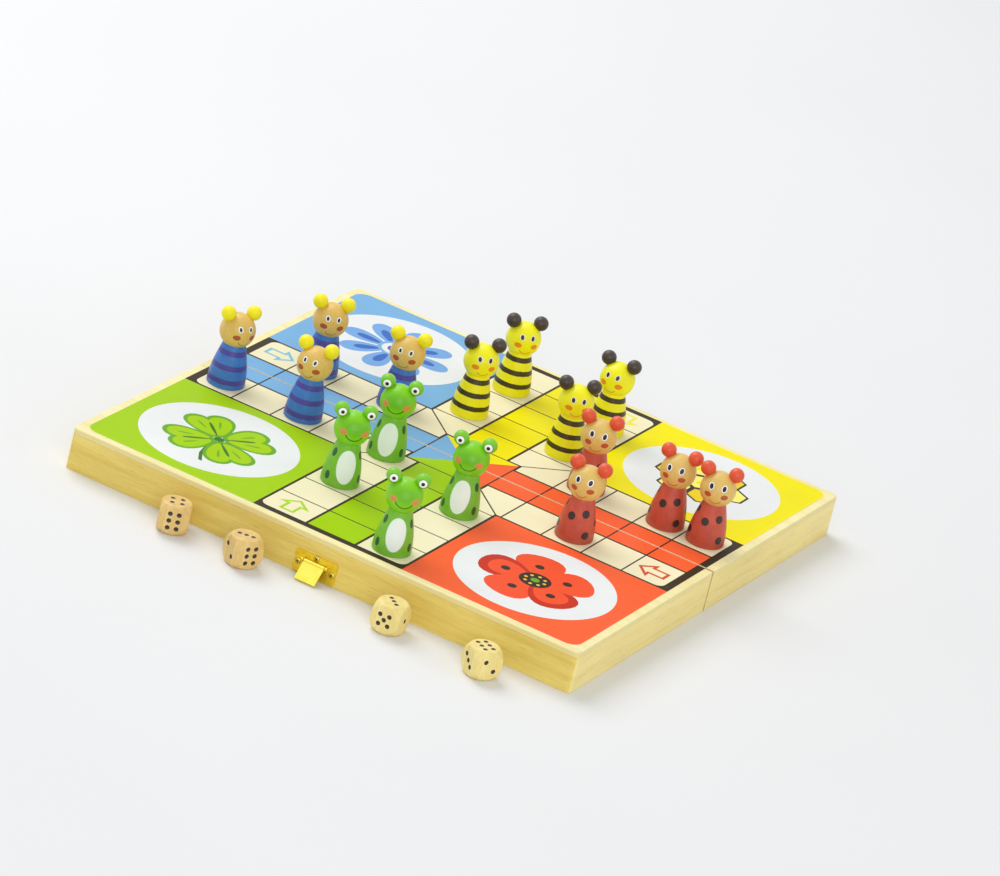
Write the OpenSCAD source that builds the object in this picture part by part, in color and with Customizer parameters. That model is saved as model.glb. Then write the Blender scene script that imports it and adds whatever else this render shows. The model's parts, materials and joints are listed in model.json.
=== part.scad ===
// Folding ludo board box, open on a table, with its pawns and dice

/* [Board] */
// Side of the square board when it is open
side = 300; // [288:1:360]
// Height of one half, with its printed sheet
half_h = 23; // [20:0.5:34]
// Thickness of the walls
wall_t = 8; // [7.5:0.5:12]
// Thickness of the plywood panel
panel_t = 3; // [2:0.1:5]
// Thickness of the printed sheet
print_t = 0.2; // [0.1:0.05:0.4]
// Bare wood left round the printed sheet
border = 4.5; // [2:0.5:10]
// Radius of the printed sheet's outer corners
print_r = 7; // [2:0.5:12]
// Radius of the board's upright corners
corner_r = 3; // [1:0.5:5]
// Gap between the two halves at the fold
fold_gap = 0.6; // [0.4:0.1:1.2]

/* [Playing field] */
// Distance of the outer cells' middle from the board's centre lines
row_mid = 29; // [27:0.5:31]
// Distance of the corner cells' middle from the centre lines
corner_mid = 30.5; // [29:0.5:33]
// Distance from the centre to the first cell of an arm
first_cell = 46.3; // [45:0.1:48]
// Length of a cell along its arm
cell_pitch = 23.8; // [23:0.1:24.5]

/* [Hinges] */
// Distance of each hinge's middle from the board's middle
hinge_x = 100; // [60:1:112]
// Length of a hinge along the fold
hinge_len = 30; // [24:1:40]
// Length of the middle knuckle
mid_knuckle = 13; // [9:0.5:14]
// Outer radius of the knuckles
knuckle_r = 1.1; // [1:0.05:1.3]
// Radius of the hinge pin
pin_r = 0.55; // [0.45:0.05:0.6]
// Length of the pin that stands out at each end
pin_out = 0.3; // [0.2:0.1:0.5]
// Thickness of a leaf
leaf_t = 0.6; // [0.5:0.05:0.9]
// Width of a leaf on the wall's rim
leaf_w = 6.6; // [6:0.1:7]
// Depth of the leaf's face below the rim
leaf_sink = 0.05; // [0.02:0.01:0.1]

/* [Catch] */
// Width of the latch plate
plate_w = 24.4; // [23.5:0.1:30]
// Height of the latch plate
plate_h = 12.2; // [12:0.1:13]
// Height of the latch plate's lower edge above the rim
plate_up = 0.8; // [0.6:0.1:1.2]
// Thickness of the latch plate
plate_t = 0.8; // [0.6:0.1:1.2]
// Height of the flap's pivot above the rim
pivot_up = 8.9; // [8.5:0.1:9]
// Width of the flap
flap_w = 12; // [10:0.1:12.5]
// Thickness of the flap
flap_t = 0.8; // [0.6:0.1:1]
// Outer radius of the flap's knuckle
roll_r = 1; // [0.9:0.05:1.1]
// Radius of the latch pin
latch_pin_r = 0.5; // [0.4:0.05:0.55]
// Thickness of the ears that hold the latch pin
ear_t = 1.4; // [1.2:0.1:1.5]
// Width of the catch plate
catch_w = 15; // [14:0.5:20]
// Height of the catch plate
catch_h = 8; // [7:0.5:12]
// Thickness of the catch plate
catch_t = 0.6; // [0.5:0.1:0.8]
// Width of the catch plate's lug
lug_w = 8; // [5:0.5:9]
// Height of the lug, and of the flap's lip
lug_h = 0.5; // [0.4:0.05:0.7]
// Height of the catch plate's lower edge above the rim
lug_up = 0.15; // [0.1:0.05:0.3]

/* [Screws] */
// Radius of a screw head
head_r = 1.5; // [1.2:0.1:1.6]
// Height of a round screw head
head_h = 0.5; // [0.4:0.05:0.7]
// Radius of a screw's shank
shank_r = 0.8; // [0.6:0.05:0.9]
// Length of a screw below its head
shank_l = 5; // [3:0.5:6]
// Distance of a leaf's screws from the hinge's middle
leaf_screw = 10; // [8:0.5:10]
// Distance of the latch plate's side screws from its middle
plate_screw = 10; // [10:0.1:10.2]
// Distance of the catch plate's screws from its middle
catch_screw = 4.6; // [3:0.1:5]

/* [Pawns] */
// Radius of a pawn's foot
foot_r = 10.2; // [8:0.1:11]
// Radius of a pawn's neck
neck_r = 6; // [5:0.1:7.5]
// Radius of the head ball
skull_r = 9.5; // [8.5:0.1:10.5]
// Height of the head ball's middle
skull_z = 30.5; // [26:0.5:34]
// Radius of the two small balls on the head
ball_r = 4; // [3:0.1:4.5]
// Distance of a small ball's middle from the pawn's axis
ball_out = 7.5; // [6:0.1:8]
// Depth that a small ball is seated into the head ball
ball_seat = 1.2; // [0.5:0.1:2]

/* [Dice] */
// Side of a die
die_s = 16; // [12:0.5:20]
// Radius of the round that cuts a die's edges, over half its side
die_round = 2.8; // [2.5:0.1:3.2]
// Radius of a pip at the face
pip_r = 1.25; // [0.8:0.05:1.4]
// Depth of a pip
pip_d = 0.5; // [0.3:0.05:0.7]
// Distance of the outer pips from a face's middle
pip_step = 2.6; // [2.3:0.1:3.2]
// Distance of the dice from the board's front wall
dice_out = 17.5; // [16:0.5:40]
// Place of the first die along the front wall
die_1_x = -76; // [-130:1:-62]
// Place of the second die along the front wall
die_2_x = -33; // [-38:1:-10]
// Place of the third die along the front wall
die_3_x = 54; // [16:1:66]
// Place of the fourth die along the front wall
die_4_x = 109; // [92:1:130]
// Step of the outer dice off the row
die_step = 3; // [0:0.5:4]

/* [Fits] */
// Gap between pieces that move past each other
move_gap = 0.35; // [0.3:0.05:0.4]
// Gap between the closed halves' rims
rim_gap = 0.3; // [0.2:0.05:0.4]
// Play of a pin in its bore, on the radius
pin_play = 0.03; // [0.02:0.01:0.06]
// Play of a screw in its hole, on the radius
screw_play = 0.02; // [0.01:0.01:0.05]
// Gap under a standing pawn
stand_gap = 0.05; // [0.02:0.01:0.1]

/* [Hidden] */
$fn = 64;
half = side / 2;
inner = fold_gap / 2;
panel_z = half_h - print_t - panel_t;
axis_z = -rim_gap / 2;
bore_r = pin_r + pin_play;
groove_r = knuckle_r + move_gap;
leaf_edge = inner + leaf_w;
mortise = leaf_sink + leaf_t;
leaf_screw_y = (leaf_edge + groove_r) / 2 + 0.1;
pivot_out = plate_t + move_gap + roll_r;
latch_bore_r = latch_pin_r + pin_play;
ear_x = flap_w / 2 + move_gap;
lip = pivot_out - flap_t / 2 - catch_t - move_gap;
lug_out = pivot_out - flap_t / 2 - move_gap;
flap_l = pivot_up + rim_gap + lug_up + 2 * lug_h + move_gap;
flap_reach = norm([flap_l, flap_t / 2 + lip]);
flap_tilt = acos((pivot_up - lug_up) / flap_reach) + atan((flap_t / 2 + lip) / flap_l);
plate_r = 1.2;
plate_screw_z = plate_up + plate_h * 0.45;
top_screw_z = plate_up + plate_h - head_r - 0.1;
catch_screw_z = lug_up + catch_h * 0.6;
neck_z = skull_z - sqrt(skull_r * skull_r - neck_r * neck_r) + 0.15;
ball_far = skull_r + ball_r - ball_seat;
ball_z = skull_z + sqrt(ball_far * ball_far - ball_out * ball_out);
pip_ball = (pip_r * pip_r + pip_d * pip_d) / (2 * pip_d);

wood = [0.86, 0.76, 0.5];
sheet_c = [0.93, 0.9, 0.76];
brass = [0.9, 0.78, 0.25];
blue = [0.22, 0.4, 0.72];
green = [0.44, 0.7, 0.18];
yellow = [0.88, 0.86, 0.1];
red = [0.72, 0.3, 0.22];
black = [0.2, 0.2, 0.18];
skin = [0.84, 0.68, 0.34];

function cell(n) = first_cell + (n + 0.5) * cell_pitch;

// Place of each pawn on the board and the way it faces
mice = [[-cell(3), -row_mid, 57], [-cell(2), row_mid, 35],
    [-cell(1), -row_mid, 5], [-cell(0), row_mid, 16]];
frogs = [[-corner_mid, -corner_mid, 20], [-row_mid, -cell(1), 36],
    [row_mid, -cell(0), 17], [row_mid, -cell(3), 28]];
bees = [[-row_mid, cell(0), 38], [-row_mid, cell(2), 39],
    [row_mid, cell(0), 32], [row_mid, cell(2), 3]];
beetles = [[cell(0), row_mid, 20], [cell(1), -row_mid, 11],
    [cell(2), row_mid, 11], [cell(3), row_mid, 20]];

// Place of each die, its turn, and its faces front, right, back, left, top and bottom
dice = [[die_1_x, die_step, 26, [6, 5, 1, 2, 4, 3]],
    [die_2_x, 0, 58, [6, 5, 1, 2, 3, 4]],
    [die_3_x, 0, 3, [5, 1, 2, 6, 3, 4]],
    [die_4_x, -die_step, 57, [2, 4, 5, 3, 6, 1]]];

// Cuts a square corner down to a round one
module corner_cut(s, r) {
    difference() {
        translate([s > 0 ? 0 : -r - 1, -r - 1]) square(r + 1);
        circle(r);
    }
}

// Outline of the front half, seen from above
module half_plan(inset, r) {
    difference() {
        translate([inset - half, inset - half])
            square([side - 2 * inset, half - inset - inner]);
        for (s = [-1, 1])
            translate([s * (half - inset - r), inset + r - half]) corner_cut(s, r);
    }
}

// Wood panel of the front half
module panel() {
    color(wood) translate([0, 0, panel_z]) linear_extrude(panel_t)
        half_plan(0, corner_r);
}

// Printed sheet of the front half
module print_sheet() {
    color(sheet_c) translate([0, 0, half_h - print_t]) linear_extrude(print_t)
        half_plan(border, print_r);
}

// Wall of the front half along the latch side, mitred at both ends
module outer_rail() {
    linear_extrude(panel_z) intersection() {
        half_plan(0, corner_r);
        polygon([[-half, -half], [half, -half],
            [half - wall_t, wall_t - half], [wall_t - half, wall_t - half]]);
    }
}

// Wall of the front half at one side, mitred at both ends
module side_rail(s) {
    linear_extrude(panel_z) intersection() {
        half_plan(0, corner_r);
        polygon([[s * half, -half], [s * half, -inner],
            [s * (half - wall_t), -inner - wall_t], [s * (half - wall_t), wall_t - half]]);
    }
}

// Wall of the front half along the fold, let in for the two hinges
module inner_rail() {
    difference() {
        linear_extrude(panel_z) polygon([[-half, -inner], [half, -inner],
            [half - wall_t, -inner - wall_t], [wall_t - half, -inner - wall_t]]);
        for (s = [-1, 1]) translate([s * hinge_x, 0, 0]) {
            translate([-hinge_len / 2 - screw_play, -leaf_edge - screw_play, -1])
                cube([hinge_len + 2 * screw_play, leaf_edge + 1, mortise + 1]);
            along_x(groove_r, hinge_len + 2 * (pin_out + move_gap));
            for (t = [-1, 1]) translate([t * leaf_screw, -leaf_screw_y, 0])
                cylinder(r = shank_r + screw_play, h = leaf_sink + shank_l + leaf_t);
        }
    }
}

// Cylinder along the hinge axis, centred
module along_x(r, l) {
    translate([0, 0, axis_z]) rotate([0, 90, 0]) cylinder(r = r, h = l, center = true);
}

// Hinge leaf on the front rim; the middle knuckle is its own or the other leaf's
module leaf(own_middle) {
    outer_l = (hinge_len - mid_knuckle) / 2 - move_gap;
    outer_x = hinge_len / 2 - outer_l / 2;
    color(brass) difference() {
        union() {
            difference() {
                translate([-hinge_len / 2, -leaf_edge, leaf_sink])
                    cube([hinge_len, leaf_edge - 0.2, leaf_t]);
                if (own_middle) for (s = [-1, 1])
                    translate([s * outer_x, 0, 0]) along_x(groove_r, outer_l + 2 * move_gap);
                else
                    along_x(groove_r, mid_knuckle + 2 * move_gap);
            }
            if (own_middle) along_x(knuckle_r, mid_knuckle);
            else for (s = [-1, 1]) translate([s * outer_x, 0, 0]) along_x(knuckle_r, outer_l);
        }
        along_x(bore_r, hinge_len + 2);
        for (t = [-1, 1]) translate([t * leaf_screw, -leaf_screw_y, leaf_sink])
            cylinder(r1 = head_r + screw_play, r2 = shank_r + screw_play, h = leaf_t);
    }
}

// Pin of one hinge
module hinge_pin() {
    color(brass) along_x(pin_r, hinge_len + 2 * pin_out);
}

// Cross slot in a screw head
module cross(depth) {
    for (a = [0, 90]) rotate(a) translate([-head_r * 0.55, -0.2, -1])
        cube([head_r * 1.1, 0.4, depth + 1]);
}

// Countersunk screw, its head's face at zero and its shank along +Z
module flat_screw() {
    difference() {
        union() {
            cylinder(r1 = head_r, r2 = shank_r, h = leaf_t);
            translate([0, 0, leaf_t]) cylinder(r = shank_r, h = shank_l);
        }
        cross(leaf_t * 0.5);
    }
}

// Round-headed screw, the underside of its head at zero and its shank along +Z
module round_screw(through) {
    ball = (head_r * head_r + head_h * head_h) / (2 * head_h);
    difference() {
        union() {
            intersection() {
                translate([0, 0, ball - head_h]) sphere(ball);
                translate([0, 0, -head_h]) cylinder(r = head_r, h = head_h);
            }
            cylinder(r = shank_r, h = through + shank_l);
        }
        translate([0, 0, -head_h]) cross(head_h * 0.6);
    }
}

// Screws of the two leaves on the front rim
module leaf_screws() {
    color(brass) for (s = [-1, 1], t = [-1, 1])
        translate([s * hinge_x + t * leaf_screw, -leaf_screw_y, leaf_sink]) flat_screw();
}

// Flat plate with round corners, standing on the front wall
module wall_plate(w, h, t, up) {
    translate([0, -half, up]) rotate([90, 0, 0]) linear_extrude(t) {
        translate([-w / 2, plate_r]) square([w, h - 2 * plate_r]);
        translate([plate_r - w / 2, 0]) square([w - 2 * plate_r, h]);
        for (s = [-1, 1], v = [plate_r, h - plate_r])
            translate([s * (w / 2 - plate_r), v]) circle(plate_r);
    }
}

// Puts what follows at a screw's place on the front wall, with +Z into the wood
module at_wall(x, z, out) {
    translate([x, -half - out, z]) rotate([-90, 0, 0]) children();
}

latch_holes = [[-plate_screw, plate_screw_z], [plate_screw, plate_screw_z], [0, top_screw_z]];
catch_holes = [[-catch_screw, catch_screw_z], [catch_screw, catch_screw_z]];

// Screw holes through a wall plate and into the wall
module wall_holes(places) {
    for (p = places) at_wall(p[0], p[1], 1)
        cylinder(r = shank_r + screw_play, h = shank_l + 1.05);
}

// Cylinder on the latch's pivot, centred
module on_pivot(r, l) {
    translate([0, -half - pivot_out, pivot_up]) rotate([0, 90, 0])
        cylinder(r = r, h = l, center = true);
}

// Latch plate with the two ears that hold the pin
module latch_plate() {
    color(brass) difference() {
        union() {
            wall_plate(plate_w, plate_h, plate_t, plate_up);
            for (s = [-1, 1]) translate([s * (ear_x + ear_t / 2), 0, 0]) {
                on_pivot(roll_r, ear_t);
                translate([-ear_t / 2, -half - pivot_out, pivot_up - roll_r])
                    cube([ear_t, pivot_out - plate_t / 2, 2 * roll_r]);
            }
        }
        on_pivot(latch_bore_r, plate_w);
        wall_holes(latch_holes);
    }
}

// Flap that hangs on the latch pin, tilted out so that its lip clears the table
module latch_flap() {
    color(brass) translate([0, -half - pivot_out, pivot_up]) rotate([-flap_tilt, 0, 0])
        difference() {
            union() {
                translate([-flap_w / 2, -flap_t / 2, -flap_l]) cube([flap_w, flap_t, flap_l]);
                translate([-flap_w / 2, 0, -flap_l]) cube([flap_w, flap_t / 2 + lip, lug_h]);
                rotate([0, 90, 0]) cylinder(r = roll_r, h = flap_w, center = true);
            }
            rotate([0, 90, 0]) cylinder(r = latch_bore_r, h = flap_w + 2, center = true);
        }
}

// Pin through the latch plate's ears and the flap
module latch_pin() {
    color(brass) on_pivot(latch_pin_r, 2 * (ear_x + ear_t));
}

// Screws of the latch plate
module latch_screws() {
    color(brass) for (p = latch_holes) at_wall(p[0], p[1], plate_t) round_screw(plate_t);
}

// Catch plate with its lug, on the rear wall
module catch_plate() {
    color(brass) mirror([0, 1, 0]) difference() {
        union() {
            wall_plate(catch_w, catch_h, catch_t, lug_up);
            translate([-lug_w / 2, -half - lug_out, lug_up]) cube([lug_w, lug_out - 0.1, lug_h]);
        }
        wall_holes(catch_holes);
    }
}

// Screws of the catch plate
module catch_screws() {
    color(brass) mirror([0, 1, 0]) for (p = catch_holes)
        at_wall(p[0], p[1], catch_t) round_screw(catch_t);
}

// Bell-shaped body of a pawn, turned in one piece
module pawn_body(c) {
    steps = 14;
    color(c) rotate_extrude() polygon(concat(
        [[0, 0], [foot_r - 0.5, 0]],
        [for (i = [0:steps]) [neck_r + (foot_r - neck_r) * cos(90 * i / steps),
            0.5 + (neck_z - 0.5) * i / steps]],
        [[0, neck_z]]));
}

// Head ball of a pawn, cut flat where it sits on the neck
module pawn_head(c) {
    color(c) difference() {
        translate([0, 0, skull_z]) sphere(skull_r);
        translate([-skull_r, -skull_r, neck_z - skull_r]) cube([2 * skull_r, 2 * skull_r, skull_r]);
    }
}

// Two small balls, hollowed where they sit on the head ball
module pawn_balls(c) {
    color(c) for (s = [-1, 1]) difference() {
        translate([s * ball_out, 0, ball_z]) sphere(ball_r);
        translate([0, 0, skull_z]) sphere(skull_r);
    }
}

// One pawn at its place, facing its own way
module pawn(place, body_c, head_c, ball_c) {
    translate([place[0], place[1], half_h + stand_gap]) rotate(place[2]) {
        pawn_body(body_c);
        pawn_head(head_c);
        pawn_balls(ball_c);
    }
}

// Places of the pips on a face, for one to six
pips = [[],
    [[0, 0]],
    [[-1, 1], [1, -1]],
    [[-1, 1], [0, 0], [1, -1]],
    [[-1, 1], [1, 1], [-1, -1], [1, -1]],
    [[-1, 1], [1, 1], [0, 0], [-1, -1], [1, -1]],
    [[-0.88, 1.5], [-0.88, 0], [-0.88, -1.5], [0.88, 1.5], [0.88, 0], [0.88, -1.5]]];
turns = [[90, 0, 0], [90, 0, 90], [90, 0, 180], [90, 0, -90], [0, 0, 0], [180, 0, 0]];

// One die at its place, with round edges and hollow pips
module die(place) {
    color(skin) translate([place[0], -half - dice_out + place[1], die_s / 2])
        rotate(place[2]) difference() {
            intersection() {
                cube(die_s, center = true);
                sphere(die_s / 2 + die_round);
            }
            for (f = [0:5]) rotate(turns[f]) for (p = pips[place[3][f]])
                translate([p[0] * pip_step, p[1] * pip_step, die_s / 2 + pip_ball - pip_d])
                    sphere(pip_ball);
        }
}

module panel_front() { panel(); }
module panel_rear() { mirror([0, 1, 0]) panel(); }
module print_front() { print_sheet(); }
module print_rear() { mirror([0, 1, 0]) print_sheet(); }
module rail_front_outer() {
    color(wood) difference() { outer_rail(); wall_holes(latch_holes); }
}
module rail_rear_outer() {
    color(wood) mirror([0, 1, 0]) difference() { outer_rail(); wall_holes(catch_holes); }
}
module rail_front_inner() { color(wood) inner_rail(); }
module rail_rear_inner() { color(wood) mirror([0, 1, 0]) inner_rail(); }
module rail_front_left() { color(wood) side_rail(-1); }
module rail_front_right() { color(wood) side_rail(1); }
module rail_rear_left() { color(wood) mirror([0, 1, 0]) side_rail(-1); }
module rail_rear_right() { color(wood) mirror([0, 1, 0]) side_rail(1); }
module leaf_front_left() { translate([-hinge_x, 0, 0]) leaf(false); }
module leaf_front_right() { translate([hinge_x, 0, 0]) leaf(false); }
module leaf_rear_left() { translate([-hinge_x, 0, 0]) mirror([0, 1, 0]) leaf(true); }
module leaf_rear_right() { translate([hinge_x, 0, 0]) mirror([0, 1, 0]) leaf(true); }
module hinge_pin_left() { translate([-hinge_x, 0, 0]) hinge_pin(); }
module hinge_pin_right() { translate([hinge_x, 0, 0]) hinge_pin(); }
module hinge_screws_front() { leaf_screws(); }
module hinge_screws_rear() { mirror([0, 1, 0]) leaf_screws(); }
module mouse(n) { pawn(mice[n], blue, skin, yellow); }
module frog(n) { pawn(frogs[n], green, green, green); }
module bee(n) { pawn(bees[n], yellow, yellow, black); }
module beetle(n) { pawn(beetles[n], red, skin, red); }

panel_front();
panel_rear();
print_front();
print_rear();
rail_front_outer();
rail_front_inner();
rail_front_left();
rail_front_right();
rail_rear_outer();
rail_rear_inner();
rail_rear_left();
rail_rear_right();
leaf_front_left();
leaf_front_right();
leaf_rear_left();
leaf_rear_right();
hinge_pin_left();
hinge_pin_right();
hinge_screws_front();
hinge_screws_rear();
latch_plate();
latch_flap();
latch_pin();
latch_screws();
catch_plate();
catch_screws();
mouse(0);  // mouse_1
mouse(1);  // mouse_2
mouse(2);  // mouse_3
mouse(3);  // mouse_4
frog(0);  // frog_1
frog(1);  // frog_2
frog(2);  // frog_3
frog(3);  // frog_4
bee(0);  // bee_1
bee(1);  // bee_2
bee(2);  // bee_3
bee(3);  // bee_4
beetle(0);  // beetle_1
beetle(1);  // beetle_2
beetle(2);  // beetle_3
beetle(3);  // beetle_4
die(dice[0]);  // die_1
die(dice[1]);  // die_2
die(dice[2]);  // die_3
die(dice[3]);  // die_4
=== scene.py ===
"""Dressed model of a folding ludo board box with its sixteen pawns and four dice.

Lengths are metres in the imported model's own frame: the fold lies along X, the latch side faces -Y,
+Z is up and the rims stand on z = 0. Sizes of printed and painted marks are millimetres.
"""
import json
import logging
import math
from abc import ABC, abstractmethod
from collections.abc import Callable, Iterable
from dataclasses import dataclass, field
from enum import Enum

import bmesh
import bpy
from mathutils import Matrix, Vector
from mathutils.geometry import delaunay_2d_cdt


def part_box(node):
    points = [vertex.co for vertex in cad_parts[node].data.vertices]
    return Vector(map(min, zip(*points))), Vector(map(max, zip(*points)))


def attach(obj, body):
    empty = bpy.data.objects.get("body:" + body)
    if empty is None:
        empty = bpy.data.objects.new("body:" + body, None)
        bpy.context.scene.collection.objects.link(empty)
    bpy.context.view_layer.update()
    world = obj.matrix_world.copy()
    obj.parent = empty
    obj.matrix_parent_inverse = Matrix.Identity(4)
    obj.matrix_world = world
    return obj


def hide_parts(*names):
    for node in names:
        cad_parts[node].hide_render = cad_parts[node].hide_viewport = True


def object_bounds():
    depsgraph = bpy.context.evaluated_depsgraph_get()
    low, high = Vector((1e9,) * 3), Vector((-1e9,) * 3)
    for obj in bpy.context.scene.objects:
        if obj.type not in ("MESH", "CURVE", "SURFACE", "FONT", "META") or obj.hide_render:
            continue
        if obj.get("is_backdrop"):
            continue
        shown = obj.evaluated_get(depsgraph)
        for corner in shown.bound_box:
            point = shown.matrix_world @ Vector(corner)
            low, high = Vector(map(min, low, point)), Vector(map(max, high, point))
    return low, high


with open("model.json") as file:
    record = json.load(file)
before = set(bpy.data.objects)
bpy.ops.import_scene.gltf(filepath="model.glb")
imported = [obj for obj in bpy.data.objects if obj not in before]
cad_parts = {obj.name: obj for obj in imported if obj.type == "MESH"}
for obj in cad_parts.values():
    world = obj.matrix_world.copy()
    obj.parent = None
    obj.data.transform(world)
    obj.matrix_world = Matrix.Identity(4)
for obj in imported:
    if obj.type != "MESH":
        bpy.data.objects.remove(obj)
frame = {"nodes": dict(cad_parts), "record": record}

LOG = logging.getLogger("board_box")
CAD_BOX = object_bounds()

MM = 0.001
SAME_SPOT = 2e-6
SAME_LEVEL = 1e-5
SHEET_TOP = 1e-6
SAME_PRINT_SPOT = 1e-4
SAME_PLANE = math.radians(0.6)
REAL_CORNER = math.radians(32)
CREASE = math.radians(34)
CREASE_EASED = math.radians(50)
NAME_END = "_dressed"
INK = "ink"
LOCAL = "local"

Socket = bpy.types.NodeSocket
Point = tuple[float, float]
Outline = tuple[Point, ...]
Colour = tuple[int, int, int]


class Axis(Enum):
    """Direction that a piece of wood's grain or a metal's brushing runs in."""

    X = (0.05, 1.0, 1.0)
    Y = (1.0, 0.05, 1.0)
    Z = (1.0, 1.0, 0.05)


class Tint(Enum):
    """Printed colours, as they look in plain light."""

    LINE = (56, 46, 30)
    CELL = (242, 234, 196)
    PAPER = (244, 240, 222)
    FOLD = (246, 220, 166)
    DISC = (231, 234, 234)
    GREEN = (162, 205, 0)
    RED = (245, 99, 52)
    YELLOW = (241, 228, 0)
    BLUE = (122, 176, 220)
    LEAF = (104, 168, 40)
    DARK_LEAF = (62, 118, 44)
    POPPY = (240, 84, 46)
    POPPY_DARK = (196, 50, 30)
    SOOT = (52, 44, 38)
    HONEY = (238, 206, 20)
    HONEY_PALE = (250, 240, 120)
    PETAL = (120, 168, 224)
    PETAL_DARK = (62, 108, 190)
    WARM = (250, 190, 60)
    GREEN_ARROW = (174, 210, 48)
    RED_ARROW = (208, 88, 52)
    YELLOW_ARROW = (234, 226, 70)
    BLUE_ARROW = (130, 194, 214)


def linear(colour: Colour) -> tuple[float, float, float, float]:
    """Turn a screen colour into the renderer's linear one.

    Args:
        colour: red, green and blue from 0 to 255.

    Returns:
        The linear colour with full alpha.
    """
    parts = [c / 255 for c in colour]
    red, green, blue = [c / 12.92 if c <= 0.04045 else ((c + 0.055) / 1.055) ** 2.4 for c in parts]
    return red, green, blue, 1.0


def shifted(colour: Colour, factor: float, lift: float = 0.0) -> Colour:
    """Return a screen colour made lighter or darker."""
    return tuple(min(255, int(c * factor + lift)) for c in colour)


class Graph:
    """Short hand for adding nodes to a tree. A value is a socket to link or a plain one to set."""

    def __init__(self, tree: bpy.types.NodeTree) -> None:
        """Take the tree that the nodes go in."""
        self.tree = tree

    def put(self, socket: Socket, value: object) -> None:
        """Fill an input.

        Args:
            socket: the input.
            value: its value, None to leave it.
        """
        if isinstance(value, Socket):
            self.tree.links.new(value, socket)
        elif value is not None:
            socket.default_value = value

    def node(self, kind: str, *values: object, inputs: dict[str, object] | None = None,
             **settings: object) -> bpy.types.Node:
        """Add a node.

        Args:
            kind: the node's type name.
            values: one value for each input in turn.
            inputs: more values, by input name.
            settings: properties of the node.

        Returns:
            The node.
        """
        made = self.tree.nodes.new(kind)
        for name, value in settings.items():
            setattr(made, name, value)
        for socket, value in zip(made.inputs, values):
            self.put(socket, value)
        for name, value in (inputs or {}).items():
            self.put(next(s for s in made.inputs if s.name == name and s.enabled), value)
        return made

    def math(self, kind: str, *values: object) -> Socket:
        """Return the result of a number operation."""
        return self.node("ShaderNodeMath", *values, operation=kind).outputs[0]

    def plus(self, one: object, other: object) -> Socket:
        """Return a sum."""
        return self.math("ADD", one, other)

    def minus(self, one: object, other: object) -> Socket:
        """Return a difference."""
        return self.math("SUBTRACT", one, other)

    def times(self, one: object, other: object) -> Socket:
        """Return a product."""
        return self.math("MULTIPLY", one, other)

    def over(self, one: object, other: object) -> Socket:
        """Return a quotient."""
        return self.math("DIVIDE", one, other)

    def vector(self, kind: str, *values: object) -> Socket:
        """Return the vector result of a vector operation."""
        return self.node("ShaderNodeVectorMath", *values, operation=kind).outputs["Vector"]

    def scaled(self, vector: Socket, factor: object) -> Socket:
        """Return a vector made longer or shorter."""
        return self.vector("SCALE", vector, None, None, factor)

    def length(self, vector: Socket) -> Socket:
        """Return a vector's length."""
        return self.node("ShaderNodeVectorMath", vector, operation="LENGTH").outputs["Value"]

    def parts(self, vector: Socket) -> list[Socket]:
        """Return a vector's three parts."""
        return list(self.node("ShaderNodeSeparateXYZ", vector).outputs)

    def joined(self, *values: object) -> Socket:
        """Return a vector made of three values."""
        return self.node("ShaderNodeCombineXYZ", *values).outputs[0]


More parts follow.
